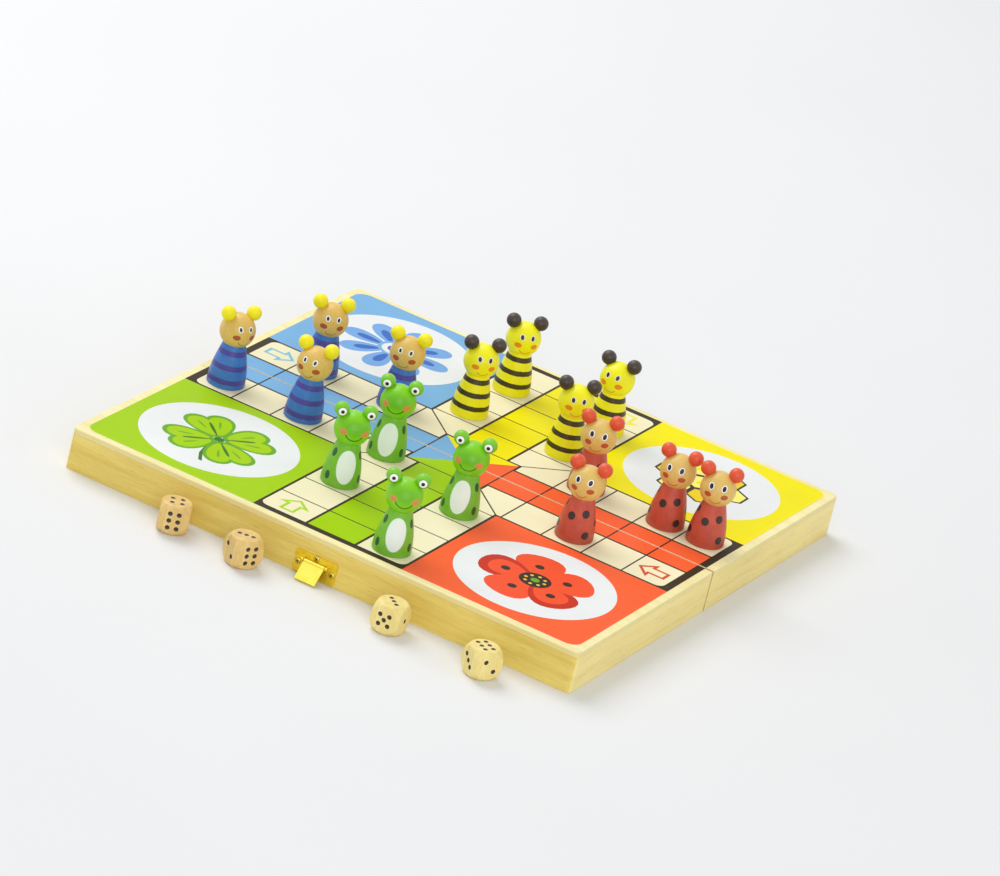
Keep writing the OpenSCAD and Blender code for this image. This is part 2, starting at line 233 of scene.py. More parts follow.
class Shade(Graph):
    """Short hand for building one material's nodes."""

    def __init__(self, name: str) -> None:
        """Start an empty material with one shader.

        Args:
            name: the material's name.
        """
        self.material = bpy.data.materials.new(name)
        self.material.use_nodes = True
        super().__init__(self.material.node_tree)
        self.tree.nodes.clear()
        self.shader = self.node("ShaderNodeBsdfPrincipled")
        self.node("ShaderNodeOutputMaterial", self.shader.outputs["BSDF"])

    def place(self) -> Socket:
        """Return the coordinates in metres."""
        return self.node("ShaderNodeTexCoord").outputs["Object"]

    def stored(self, name: str, output: str) -> Socket:
        """Return an attribute of the mesh."""
        return self.node("ShaderNodeAttribute", attribute_name=name).outputs[output]

    def ramped(self, value: object, low: float, high: float, start: float = 0.0, end: float = 1.0) -> Socket:
        """Return a value carried from low..high to start..end, held at both ends."""
        return self.node("ShaderNodeMapRange", value, low, high, start, end, clamp=True).outputs["Result"]

    def swing(self, noise: Socket, start: float, end: float) -> Socket:
        """Return noise carried from the span where most of it lies to start..end."""
        return self.ramped(noise, 0.3, 0.7, start, end)

    def within(self, value: Socket, limit: float, soft: float) -> Socket:
        """Return 1 where a value is under a limit and 0 where it is over, with a soft edge."""
        return self.ramped(value, limit + soft, limit - soft)

    def noise(self, vector: Socket, scale: float, detail: float = 3.0, rough: float = 0.5) -> Socket:
        """Return smooth noise from 0 to 1, mostly near a half."""
        return self.node("ShaderNodeTexNoise", vector, None, scale, detail, rough).outputs[0]

    def mix(self, share: object, one: object, other: object) -> Socket:
        """Return two colours mixed by a share of the second."""
        colours = {"Factor": share, "A": one, "B": other}
        return self.node("ShaderNodeMix", inputs=colours, data_type="RGBA").outputs[2]

    def laid(self, colour: object, where: Socket, tint: Colour, share: float = 1.0) -> Socket:
        """Lay a tint over a colour.

        Args:
            colour: the colour below.
            where: where the tint lies, from 0 to 1.
            tint: the tint, as a screen colour.
            share: how much of the colour it hides.

        Returns:
            The new colour.
        """
        if share < 1.0:
            where = self.times(where, share)
        return self.mix(where, colour, linear(tint))

    def toned(self, colour: object, value: object) -> Socket:
        """Return a colour made lighter or darker by a factor."""
        return self.node("ShaderNodeHueSaturation", inputs={"Color": colour, "Value": value}).outputs[0]

    def bumped(self, height: Socket, depth: float, strength: float = 0.6) -> Socket:
        """Return a normal bent by a height, depth metres for a height of one."""
        bend = {"Height": height, "Distance": depth, "Strength": strength}
        return self.node("ShaderNodeBump", inputs=bend).outputs[0]

    def finish(self, colour: object, rough: object, normal: Socket, **plain: float) -> bpy.types.Material:
        """Feed the shader and return the material.

        Args:
            colour: the base colour.
            rough: the roughness.
            normal: the bent normal.
            plain: other inputs of the shader, with _ for a space.

        Returns:
            The finished material.
        """
        for name, value in (("Base Color", colour), ("Roughness", rough), ("Normal", normal)):
            self.put(self.shader.inputs[name], value)
        for name, value in plain.items():
            self.put(self.shader.inputs[name.replace("_", " ").title().replace("Ior", "IOR")], value)
        return self.material


class Finish(ABC):
    """A surface finish that makes its material once."""

    made: dict[object, bpy.types.Material] = {}

    @abstractmethod
    def mixed(self) -> bpy.types.Material:
        """Build the material."""

    def material(self) -> bpy.types.Material:
        """Return the finish's material, built on first use."""
        if self not in Finish.made:
            Finish.made[self] = self.mixed()
        return Finish.made[self]


@dataclass(frozen=True)
class WoodFinish(Finish):
    """Pale lacquered wood with its grain along one axis; plies are a panel's lowest and highest level."""

    name: str
    grain: Axis
    pale: Colour
    dark: Colour
    gloss: float = 0.46
    plies: tuple[float, float] | None = None
    local: bool = False
    # Width of the painted shade along the fold, 0 for none.
    fold_line: float = 0.0
    ply_pale: Colour = (238, 218, 140)
    ply_core: Colour = (206, 172, 96)
    ply_seam: Colour = (150, 116, 62)
    fold_painted_shade: Colour = (132, 100, 40)

    def figure(self, shade: Shade, place: Socket) -> tuple[Socket, Socket]:
        """Draw the grain.

        Args:
            shade: the material being built.
            place: coordinates in metres.

        Returns:
            The wood's colour, and its height from 0 to 1.
        """
        drift = shade.noise(place, 14.0, 2.0)
        wander = shade.node("ShaderNodeTexNoise", place, None, 9.0).outputs[1]
        bent = shade.vector("ADD", place, shade.vector("MULTIPLY", wander, (0.004, 0.004, 0.004)))
        along = shade.vector("MULTIPLY", bent, self.grain.value)
        rings = shade.noise(along, 210.0, 3.0, 0.55)
        fibre = shade.noise(along, 1500.0, 4.0, 0.65)
        pores = shade.ramped(shade.noise(along, 2600.0, 2.0), 0.62, 0.72)
        tone = shade.plus(shade.ramped(rings, 0.32, 0.68, 0.0, 0.62), shade.swing(fibre, 0.0, 0.38))
        colour = shade.mix(tone, linear(self.pale), linear(self.dark))
        colour = shade.laid(colour, pores, shifted(self.dark, 0.72), 0.35)
        colour = shade.toned(colour, shade.swing(drift, 0.93, 1.06))
        height = shade.plus(shade.times(fibre, 0.6), shade.times(rings, 0.4))
        return colour, shade.minus(height, shade.times(pores, 0.4))

    def mixed(self) -> bpy.types.Material:
        """Build the material."""
        shade = Shade(self.name)
        place = shade.stored(LOCAL, "Vector") if self.local else shade.place()
        colour, height = self.figure(shade, place)
        if self.plies:
            level = shade.ramped(shade.parts(place)[2], *self.plies)
            core = shade.math("COMPARE", level, 0.5, 0.17)
            seam = shade.ramped(level, 0.09, 0.04)
            normal = shade.node("ShaderNodeNewGeometry").outputs["Normal"]
            edge = shade.ramped(shade.math("ABSOLUTE", shade.parts(normal)[2]), 0.7, 0.3)
            colour = shade.laid(colour, edge, self.ply_pale, 0.5)
            colour = shade.laid(colour, shade.times(edge, shade.times(core, 0.12)), self.ply_core)
            colour = shade.laid(colour, shade.times(edge, shade.times(seam, 0.4)), self.ply_seam)
        # Painted shade: the wood gets darker along the fold, where the two halves meet.
        if self.fold_line:
            apart = shade.math("ABSOLUTE", shade.parts(place)[1])
            wear_and_shade = shade.ramped(apart, self.fold_line, self.fold_line / 2, 0.0, 0.7)
            colour = shade.laid(colour, wear_and_shade, self.fold_painted_shade)
        rough = shade.ramped(height, 0.2, 0.8, self.gloss + 0.1, self.gloss - 0.06)
        return shade.finish(colour, rough, shade.bumped(height, 0.0001, 0.5), specular_ior_level=0.35,
                            coat_weight=0.08, coat_roughness=0.3)


@dataclass(frozen=True)
class BrassFinish(Finish):
    """Yellow plated metal, lightly brushed, with faint stains, and painted shade in a ring round each of its
    screws.
    """

    name: str
    bright: Colour = (246, 216, 84)
    stained: Colour = (222, 180, 58)
    rough: float = 0.28
    brushing: Axis = Axis.X
    # Rings of painted shade round the screws: their middles, their inner and outer radius, and their colour.
    wells: Outline = ()
    well: tuple[float, float] = (1.45 * MM, 2.0 * MM)
    screw_ring_shade: Colour = (104, 78, 22)
    speck: Colour = (120, 84, 34)

    def mixed(self) -> bpy.types.Material:
        """Build the material."""
        shade = Shade(self.name)
        place = shade.place()
        stain = shade.noise(place, 260.0, 5.0, 0.6)
        lines = shade.noise(shade.vector("MULTIPLY", place, self.brushing.value), 5200.0, 3.0, 0.6)
        speck = shade.ramped(shade.noise(place, 2400.0, 2.0), 0.66, 0.74)
        colour = shade.mix(shade.ramped(stain, 0.42, 0.72), linear(self.bright), linear(self.stained))
        colour = shade.laid(colour, speck, self.speck, 0.4)
        # Painted shade: a dark ring round each screw head, where shade falls on the plate.
        for x, z in self.wells:
            apart = shade.vector("SUBTRACT", place, (x, 0.0, z))
            far = shade.length(shade.vector("MULTIPLY", apart, (1.0, 0.0, 1.0)))
            near = shade.ramped(far, self.well[1], self.well[0], 0.0, 0.7)
            colour = shade.laid(colour, near, self.screw_ring_shade)
        stains = shade.swing(stain, self.rough - 0.05, self.rough + 0.14)
        rough = shade.plus(stains, shade.swing(lines, -0.03, 0.05))
        height = shade.minus(shade.times(lines, 0.5), speck)
        return shade.finish(colour, rough, shade.bumped(height, 0.00003, 0.5), metallic=1.0)


@dataclass(frozen=True)
class PrintFinish(Finish):
    """Varnished printed sheet that reads its ink from the mesh."""

    name: str = "printed_sheet"

    def mixed(self) -> bpy.types.Material:
        """Build the material."""
        shade = Shade(self.name)
        place = shade.place()
        cloud = shade.noise(place, 22.0, 4.0, 0.6)
        grain = shade.noise(place, 3400.0, 2.0)
        colour = shade.toned(shade.stored(INK, "Color"), shade.swing(cloud, 0.955, 1.03))
        colour = shade.toned(colour, shade.ramped(grain, 0.25, 0.75, 0.97, 1.03))
        streaks = shade.noise(shade.vector("MULTIPLY", place, (1.0, 0.06, 1.0)), 900.0, 2.0)
        scratch = shade.ramped(streaks, 0.745, 0.77, 0.0, 0.1)
        colour = shade.laid(colour, scratch, Tint.PAPER.value)
        rough = shade.plus(shade.swing(cloud, 0.4, 0.52), shade.times(scratch, 0.3))
        height = shade.plus(shade.times(grain, 0.5), shade.noise(place, 420.0, 2.0))
        return shade.finish(colour, rough, shade.bumped(height, 0.00004, 0.45), specular_ior_level=0.08)


class MarkShape(Enum):
    """Forms of the marks painted on a pawn."""

    OVAL = "flat oval seen from the front"
    ARC = "lower part of a ring seen from the front"
    BAND = "ring round the pawn"
    SPOT = "oval lying on the turned side"


@dataclass(frozen=True)
class Mark:
    """One painted mark, in millimetres from the middle of the pawn's foot."""

    shape: MarkShape
    colour: Colour
    x: float = 0.0
    z: float = 0.0
    wide: float = 1.0
    high: float = 1.0
    turn: float = 0.0
    share: float = 1.0

    def band(self, shade: Shade, local: Socket) -> Socket:
        """Return where a slightly wavy ring lies.

        Args:
            shade: the material being built.
            local: the pawn's own coordinates in millimetres.

        Returns:
            The mask.
        """
        wave = shade.times(shade.minus(shade.noise(local, 0.35, 1.0), 0.5), 0.5)
        away = shade.minus(shade.plus(shade.parts(local)[2], wave), self.z)
        return shade.within(shade.math("ABSOLUTE", away), self.high, 0.07)

    def spot(self, shade: Shade, local: Socket) -> Socket:
        """Return where an oval on the turned side lies.

        Args:
            shade: the material being built.
            local: the pawn's own coordinates in millimetres.

        Returns:
            The mask.
        """
        x, y, z = shade.parts(local)
        angle = shade.minus(shade.math("ARCTAN2", x, shade.times(y, -1.0)), math.radians(self.turn))
        angle = shade.math("WRAP", angle, math.pi, -math.pi)
        across = shade.times(angle, shade.length(shade.joined(x, y, 0.0)))
        flat = shade.joined(shade.over(across, self.wide), shade.over(shade.minus(z, self.z), self.high), 0.0)
        return shade.within(shade.length(flat), 1.0, 0.08 / min(self.wide, self.high))

    def mask(self, shade: Shade, local: Socket) -> Socket:
        """Return where the mark lies, from 0 to 1.

        Args:
            shade: the material being built.
            local: the pawn's own coordinates in millimetres.

        Returns:
            The mask.
        """
        if self.shape is MarkShape.BAND:
            return self.band(shade, local)
        if self.shape is MarkShape.SPOT:
            return self.spot(shade, local)
        x, y, z = shade.parts(local)
        front = shade.within(y, 0.0, 0.05)
        moved = shade.vector("SUBTRACT", shade.joined(x, 0.0, z), (self.x, 0.0, self.z))
        if self.shape is MarkShape.ARC:
            off = shade.math("ABSOLUTE", shade.minus(shade.length(moved), self.wide))
            low = shade.ramped(shade.parts(moved)[2], -0.44 * self.wide, -0.52 * self.wide)
            return shade.times(shade.times(shade.within(off, self.high, 0.06), low), front)
        flat = shade.vector("DIVIDE", moved, (self.wide, 1.0, self.high))
        soft = (0.06 / min(self.wide, self.high)) if self.share == 1.0 else 0.35
        return shade.times(shade.within(shade.length(flat), 1.0, soft), front)


@dataclass(frozen=True)
class PaintFinish(Finish):
    """Satin paint or clear lacquer over turned wood, with painted marks."""

    name: str
    base: Colour
    second: Colour
    marks: tuple[Mark, ...] = ()
    wood: bool = False
    foot_shade: float = 0.0

    def mixed(self) -> bpy.types.Material:
        """Build the material."""
        shade = Shade(self.name)
        local = shade.scaled(shade.stored(LOCAL, "Vector"), 1 / MM)
        cloud = shade.noise(local, 0.16, 3.0, 0.6)
        streak = shade.noise(shade.vector("MULTIPLY", local, (1.0, 1.0, 0.08)), 2.3, 4.0, 0.6)
        if self.wood:
            tone = shade.plus(shade.swing(streak, 0.0, 0.7), shade.swing(cloud, 0.0, 0.3))
        else:
            clouds = shade.ramped(cloud, 0.3, 0.72, 0.0, 0.6)
            tone = shade.plus(clouds, shade.ramped(streak, 0.45, 0.75, 0.0, 0.3))
        colour = shade.mix(tone, linear(self.base), linear(self.second))
        height = shade.times(streak, 0.35)
        for mark in self.marks:
            where = mark.mask(shade, local)
            colour = shade.laid(colour, where, mark.colour, mark.share)
            if mark.share == 1.0:
                height = shade.math("MAXIMUM", height, where)
        # Painted shade: the body gets darker towards its foot.
        if self.foot_shade:
            level = shade.plus(shade.parts(local)[2], shade.times(cloud, 5.0))
            colour = shade.toned(colour, shade.ramped(level, 1.0, 15.0, 1.0 - self.foot_shade, 1.0))
        speck = shade.ramped(shade.noise(local, 1.5, 2.0), 0.7, 0.76, 0.0, 0.25)
        colour = shade.laid(colour, speck, shifted(self.base, 1.2, 18))
        rough = shade.plus(shade.swing(cloud, 0.3, 0.4), shade.swing(streak, -0.02, 0.05))
        fine = shade.plus(height, shade.times(shade.noise(local, 2.2, 2.0), 0.3))
        return shade.finish(colour, rough, shade.bumped(fine, 0.00007, 0.5), specular_ior_level=0.3,
                            coat_weight=0.12, coat_roughness=0.18)


@dataclass(frozen=True)
class PipFinish(Finish):
    """Dark paint in the hollow of a pip."""

    name: str = "pip_paint"

    def mixed(self) -> bpy.types.Material:
        """Build the material."""
        shade = Shade(self.name)
        wear_and_shade = shade.noise(shade.place(), 2100.0, 4.0, 0.65)
        colour = shade.mix(shade.ramped(wear_and_shade, 0.5, 0.8), linear((44, 34, 28)), linear((96, 70, 48)))
        return shade.finish(colour, shade.swing(wear_and_shade, 0.3, 0.5), shade.bumped(wear_and_shade, 0.00005))


class Tree(Graph):
    """Short hand for building one geometry tree."""

    def __init__(self, name: str) -> None:
        """Start a tree with a geometry input and output.

        Args:
            name: the tree's name.
        """
        super().__init__(bpy.data.node_groups.new(name, "GeometryNodeTree"))
        for way in ("INPUT", "OUTPUT"):
            self.tree.interface.new_socket("Geometry", in_out=way, socket_type="NodeSocketGeometry")
        self.start = self.node("NodeGroupInput")
        self.end = self.node("NodeGroupOutput")

    def sizes(self, *names: str, kind: str = "Float") -> list[Socket]:
        """Add named inputs of one kind.

        Args:
            names: the inputs' names.
            kind: the socket type's name after "NodeSocket".

        Returns:
            The inputs, in turn.
        """
        for name in names:
            self.tree.interface.new_socket(name, in_out="INPUT", socket_type="NodeSocket" + kind)
        return [self.start.outputs[name] for name in names]

    def shape(self, kind: str, inputs: dict[str, object] | None = None, **settings: object) -> Socket:
        """Add a geometry node and return its first output."""
        return self.node("GeometryNode" + kind, inputs=inputs, **settings).outputs[0]

    def position(self) -> Socket:
        """Return each point's place."""
        return self.shape("InputPosition")

    def height(self) -> Socket:
        """Return each point's height."""
        return self.parts(self.position())[2]

    def read(self, name: str, kind: str) -> Socket:
        """Return a value that the shape carries."""
        return self.shape("InputNamedAttribute", {"Name": name}, data_type=kind)

    def moved(self, shape: Socket, shift: Socket, turn: Socket | None = None) -> Socket:
        """Return a shape moved and turned."""
        return self.shape("Transform", {"Geometry": shape, "Translation": shift, "Rotation": turn})

    def raised(self, shape: Socket, level: Socket) -> Socket:
        """Return a shape moved up."""
        return self.moved(shape, self.joined(0.0, 0.0, level))

    def turned(self, height: Socket, radius: Socket, rings: int, sides: int, rise: float) -> Socket:
        """Return a closed turned solid that stands on z = 0.

        Args:
            height: its height.
            radius: its radius, as a field of the points' height.
            rings: how many rings of points it has.
            sides: how many points each ring has.
            rise: over 1 crowds the rings towards the foot.

        Returns:
            The solid.
        """
        line = self.shape("CurvePrimitiveLine", {"End": self.joined(0.0, 0.0, height)})
        rows = self.shape("ResampleCurve", {"Curve": line, "Count": rings})
        along = self.node("GeometryNodeSplineParameter").outputs["Factor"]
        level = self.times(self.math("POWER", along, rise), height)
        placed = self.shape("SetPosition", {"Geometry": rows, "Position": self.joined(0.0, 0.0, level)})
        ring = self.shape("CurvePrimitiveCircle", {"Resolution": sides, "Radius": 1.0})
        sweep = {"Curve": placed, "Profile Curve": ring, "Scale": radius, "Fill Caps": True}
        return self.shape("CurveToMesh", sweep)

    def ball(self, radius: Socket, sides: int) -> Socket:
        """Return a ball at the origin."""
        return self.shape("MeshUVSphere", {"Segments": sides, "Rings": sides // 2, "Radius": radius})

    def cone(self, sides: int, top: Socket, bottom: Socket, depth: Socket) -> Socket:
        """Return a blunt cone on z = 0."""
        sizes = {"Vertices": sides, "Radius Top": top, "Radius Bottom": bottom, "Depth": depth}
        return self.shape("MeshCone", sizes)

    def cube(self, x: Socket, y: Socket, z: Socket, points: int = 2) -> Socket:
        """Return a block round the origin, with some points along each edge."""
        counts = {f"Vertices {axis}": points for axis in "XYZ"}
        return self.shape("MeshCube", {"Size": self.joined(x, y, z)} | counts)

    def tagged(self, shape: Socket, name: str, value: object, kind: str = "FLOAT",
               domain: str = "FACE") -> Socket:
        """Return a shape that carries a named value."""
        values = {"Geometry": shape, "Name": name, "Value": value}
        return self.shape("StoreNamedAttribute", values, data_type=kind, domain=domain)

    def placed_local(self, shape: Socket) -> Socket:
        """Return a shape that carries its own coordinates, for its material."""
        return self.tagged(shape, LOCAL, self.position(), "FLOAT_VECTOR", "POINT")

    def repeated(self, points: Socket, shape: Socket) -> Socket:
        """Return a shape at every point, as one mesh."""
        return self.shape("RealizeInstances",
                          {"Geometry": self.shape("InstanceOnPoints", {"Points": points, "Instance": shape})})

    def together(self, *shapes: Socket) -> Socket:
        """Join several shapes.

        Args:
            shapes: the shapes, which may touch but aren't fused.

        Returns:
            The joined shape.
        """
        made = self.node("GeometryNodeJoinGeometry")
        for shape in reversed(shapes):
            self.put(made.inputs[0], shape)
        return made.outputs[0]

    def cut(self, body: Socket, tool: Socket) -> Socket:
        """Take a tool away from a body.

        Args:
            body: the body.
            tool: the solid that is taken away.

        Returns:
            What is left.
        """
        made = self.node("GeometryNodeMeshBoolean", operation="DIFFERENCE", solver="EXACT")
        self.put(made.inputs["Mesh 1"], body)
        self.put(made.inputs["Mesh 2"], tool)
        return made.outputs[0]

    def fused(self, one: Socket, other: Socket) -> Socket:
        """Make one body of two.

        Args:
            one: the first body.
            other: the second body.

        Returns:
            The one body.
        """
        made = self.node("GeometryNodeMeshBoolean", operation="UNION", solver="EXACT")
        for mesh in (one, other):
            self.put(made.inputs["Mesh 2"], mesh)
        return made.outputs[0]

    def done(self, shape: Socket, paints: Iterable[tuple[Socket, Socket | None]]) -> bpy.types.NodeTree:
        """Close the tree and return it.

        Args:
            shape: the finished shape.
            paints: pairs of a material and the faces that take it, None for all.

        Returns:
            The tree.
        """
        made = self.shape("RealizeInstances", {"Geometry": self.shape("SetShadeSmooth", {"Geometry": shape})})
        for material, where in paints:
            made = self.shape("SetMaterial", {"Geometry": made, "Material": material, "Selection": where})
        self.put(self.end.inputs[0], made)
        return self.tree


def added(name: str, data: bpy.types.ID) -> bpy.types.Object:
    """Put a new object in the scene, at the origin.

    Args:
        name: its name.
        data: its mesh, lamp or camera.

    Returns:
        The object.
    """
    piece = bpy.data.objects.new(name, data)
    bpy.context.scene.collection.objects.link(piece)
    return piece


def grown(node: str, places: list[Vector], tree: bpy.types.NodeTree,
          values: dict[str, object]) -> bpy.types.Object:
    """Run a geometry tree and keep its result as a plain mesh.

    Args:
        node: the CAD node that the piece stands for.
        places: the points that the tree starts from.
        tree: the tree.
        values: the tree's inputs by name.

    Returns:
        The object, at the origin, with no modifier.
    """
    start = bpy.data.meshes.new(node + "_places")
    start.from_pydata([tuple(p) for p in places], [], [])
    piece = added(node + NAME_END, start)
    shape = piece.modifiers.new("shape", "NODES")
    shape.node_group = tree
    for item in tree.interface.items_tree:
        if item.item_type == "SOCKET" and item.in_out == "INPUT" and item.name in values:
            shape[item.identifier] = values[item.name]
    graph = bpy.context.evaluated_depsgraph_get()
    solid = bpy.data.meshes.new_from_object(piece.evaluated_get(graph), preserve_all_data_layers=True,
                                            depsgraph=graph)
    piece.modifiers.clear()
    piece.data = solid
    bpy.data.meshes.remove(start)
    solid.name = piece.name
    used = sorted({area.material_index for area in solid.polygons})
    paints = [solid.materials[index] for index in used]
    places_in = [used.index(area.material_index) for area in solid.polygons]
    solid.materials.clear()
    for paint in paints:
        solid.materials.append(paint)
    solid.polygons.foreach_set("material_index", places_in)
    solid.set_sharp_from_angle(angle=CREASE)
    return piece


def drawn(node: str, bm: bmesh.types.BMesh, finish: Finish) -> bpy.types.Object:
    """Turn a drawn mesh into a piece.

    Args:
        node: the CAD node that the piece stands for.
        bm: the drawn mesh, which is freed.
        finish: the finish of the whole piece.

    Returns:
        The new piece.
    """
    mesh = bpy.data.meshes.new(node + NAME_END)
    bm.to_mesh(mesh)
    bm.free()
    mesh.materials.append(finish.material())
    return added(mesh.name, mesh)


def seated(piece: bpy.types.Object, node: str) -> None:
    """Put a piece in a node's place, on the node's body.

    Args:
        piece: the finished piece.
        node: the CAD node that it stands for.
    """
    groups = frame["record"]["behaviour"]["bodies"]
    body = next(name for name, nodes in groups.items() if node in nodes)
    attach(piece, body)
    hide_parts(node)
    LOG.info("%s: %d faces, rides on %s", piece.name, len(piece.data.polygons), body)


def eased(node: str, finish: Finish, round_off: float, top: float = 0.0,
          top_round: float = 0.0) -> bpy.types.Object:
    """Copy a node's solid and take the sharpness off its edges.

    Args:
        node: the CAD node.
        finish: the finish of the whole piece.
        round_off: width of the rounding.
        top: height whose outer edges get a rounding of their own.
        top_round: width of that rounding.

    Returns:
        The new piece.
    """
    bm = bmesh.new()
    bm.from_mesh(frame["nodes"][node].data)
    bmesh.ops.remove_doubles(bm, verts=bm.verts, dist=SAME_SPOT)
    bmesh.ops.dissolve_limit(bm, angle_limit=SAME_PLANE, verts=bm.verts, edges=bm.edges)
    bmesh.ops.recalc_face_normals(bm, faces=bm.faces)

    def sharp(edge: bmesh.types.BMEdge) -> bool:
        """Tell whether an edge is a real corner."""
        return len(edge.link_faces) == 2 and edge.calc_face_angle(0.0) > REAL_CORNER

    def upper(edge: bmesh.types.BMEdge) -> bool:
        """Tell whether an edge lies at the top, off the fold."""
        fold = min(abs(v.co.y) for v in edge.verts)
        return top > 0 and all(abs(v.co.z - top) < SAME_LEVEL for v in edge.verts) and fold > 2 * MM

    def bevelled(edges: list[bmesh.types.BMEdge], width: float, steps: int) -> None:
        """Round some edges."""
        bmesh.ops.bevel(bm, geom=edges, offset=width, segments=steps, profile=0.5, affect="EDGES",
                        clamp_overlap=True)

    wide = [e for e in bm.edges if sharp(e) and upper(e)]
    if wide:
        bevelled(wide, top_round, 4)
    bevelled([e for e in bm.edges if sharp(e)], round_off, 2)
    piece = drawn(node, bm, finish)
    piece.data.shade_smooth()
    piece.data.set_sharp_from_angle(angle=CREASE_EASED)
    piece.modifiers.new("even_normals", "WEIGHTED_NORMAL").keep_sharp = True
    return piece


@dataclass
class Board:
    """The two wooden halves: a plywood panel on four mitred walls each."""

    edge_round: float = 0.7 * MM
    seam_round: float = 0.14 * MM
    fold_line: float = 0.9 * MM
    long_tones: tuple[Colour, Colour] = ((246, 224, 126), (222, 190, 84))
    # Painted light: the end walls take a paler copy of the long walls' wood, for the light that falls on
    # them.
    side_wall_painted_light: tuple[Colour, Colour] = ((254, 238, 166), (238, 214, 128))
    panel_tones: tuple[Colour, Colour] = ((247, 240, 186), (236, 220, 148))
    panel_gloss: float = 0.44

    def build(self) -> None:
        """Make and dress both halves."""
        for half in ("front", "rear"):
            panel = f"panel_{half}"
            low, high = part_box(panel)
            ply = WoodFinish("panel_wood", Axis.X, *self.panel_tones, self.panel_gloss, (low.z, high.z),
                             fold_line=self.fold_line)
            seated(eased(panel, ply, self.seam_round, high.z, self.edge_round), panel)
            for side in ("outer", "inner", "left", "right"):
                rail = f"rail_{half}_{side}"
                along = side in ("outer", "inner")
                # Painted light: the end walls take their paler tones.
                grain, tones = (Axis.X, self.long_tones) if along else (Axis.Y, self.side_wall_painted_light)
                wood = WoodFinish("wall_wood_" + grain.name.lower(), grain, *tones,
                                  fold_line=0.0 if along else self.fold_line)
                seated(eased(rail, wood, self.seam_round), rail)


def polar(middle: Point, radius: float, angle: float) -> Point:
    """Return the point at a distance from a middle, at an angle in degrees."""
    turn = math.radians(angle)
    return middle[0] + radius * math.cos(turn), middle[1] + radius * math.sin(turn)


def rounded(low: Point, high: Point, round_ones: tuple[int, ...] = (), radius: float = 0.0,
            steps: int = 8) -> Outline:
    """Return an upright rectangle's outline, anticlockwise, with some corners round.

    Args:
        low: its lowest corner.
        high: its highest corner.
        round_ones: which corners are round, counted anticlockwise from the lowest one.
        radius: the round corners' radius.
        steps: how many lines draw a round corner.

    Returns:
        The outline.
    """
    corners = [low, (high[0], low[1]), high, (low[0], high[1])]
    inward = [(1, 1), (-1, 1), (-1, -1), (1, -1)]
    points: list[Point] = []
    for index, (spot, way) in enumerate(zip(corners, inward)):
        if index not in round_ones:
            points.append(spot)
            continue
        middle = (spot[0] + way[0] * radius, spot[1] + way[1] * radius)
        first = math.radians(180 + 90 * index)
        for step in range(steps + 1):
            angle = first + math.radians(90) * step / steps
            points.append((middle[0] + radius * math.cos(angle), middle[1] + radius * math.sin(angle)))
    return tuple(points)


def disc(middle: Point, radius: float, steps: int, start: float = 0.0) -> Outline:
    """Return a circle's outline, or a regular polygon's."""
    angles = [math.radians(start) + math.tau * i / steps for i in range(steps)]
    return tuple((middle[0] + radius * math.cos(a), middle[1] + radius * math.sin(a)) for a in angles)


def petal(middle: Point, angle: float, near: float, far: float, width: float, steps: int = 24) -> Outline:
    """Return the outline of an egg-shaped petal that points away from a middle.

    Args:
        middle: the flower's middle.
        angle: the way the petal points, in degrees.
        near: distance of its inner end from the middle.
        far: distance of its outer end.
        width: its greatest width.
        steps: how many points draw it.

    Returns:
        The outline.
    """
    turn = math.radians(angle)
    points = []
    for index in range(steps):
        step = math.tau * index / steps
        along = (near + far) / 2 + (far - near) / 2 * math.cos(step)
        across = width / 2 * math.sin(step) * (1 + 0.35 * math.cos(step))
        points.append((middle[0] + along * math.cos(turn) - across * math.sin(turn),
                       middle[1] + along * math.sin(turn) + across * math.cos(turn)))
    return tuple(points)


def turning(outline: Outline) -> float:
    """Return an outline's area, negative where it runs clockwise."""
    pairs = zip(outline, outline[1:] + outline[:1])
    return sum(ax * by - bx * ay for (ax, ay), (bx, by) in pairs) / 2


def shrunk(outline: Outline, inset: float) -> Outline:
    """Move an anticlockwise outline inwards by one width all round.

    Args:
        outline: the outline.
        inset: the width.

    Returns:
        The smaller outline.
    """
    lines = []
    for (ax, ay), (bx, by) in zip(outline, outline[1:] + outline[:1]):
        long = math.hypot(bx - ax, by - ay)
        nx, ny = -(by - ay) / long, (bx - ax) / long
        lines.append((nx, ny, nx * ax + ny * ay + inset))
    points = []
    for (a1, b1, c1), (a2, b2, c2) in zip(lines[-1:] + lines[:-1], lines):
        det = a1 * b2 - a2 * b1
        points.append(((c1 * b2 - c2 * b1) / det, (a1 * c2 - a2 * c1) / det))
    return tuple(points)


@dataclass(frozen=True)
class Patch:
    """One printed area, in millimetres on the whole board."""

    outline: Outline
    tint: Tint

    def quarter(self, count: int) -> "Patch":
        """Turn the patch about the board's middle.

        Args:
            count: how many quarter turns, anticlockwise.

        Returns:
            The turned patch.
        """
        points = self.outline
        for _ in range(count):
            points = tuple((-y, x) for x, y in points)
        return Patch(points, self.tint)


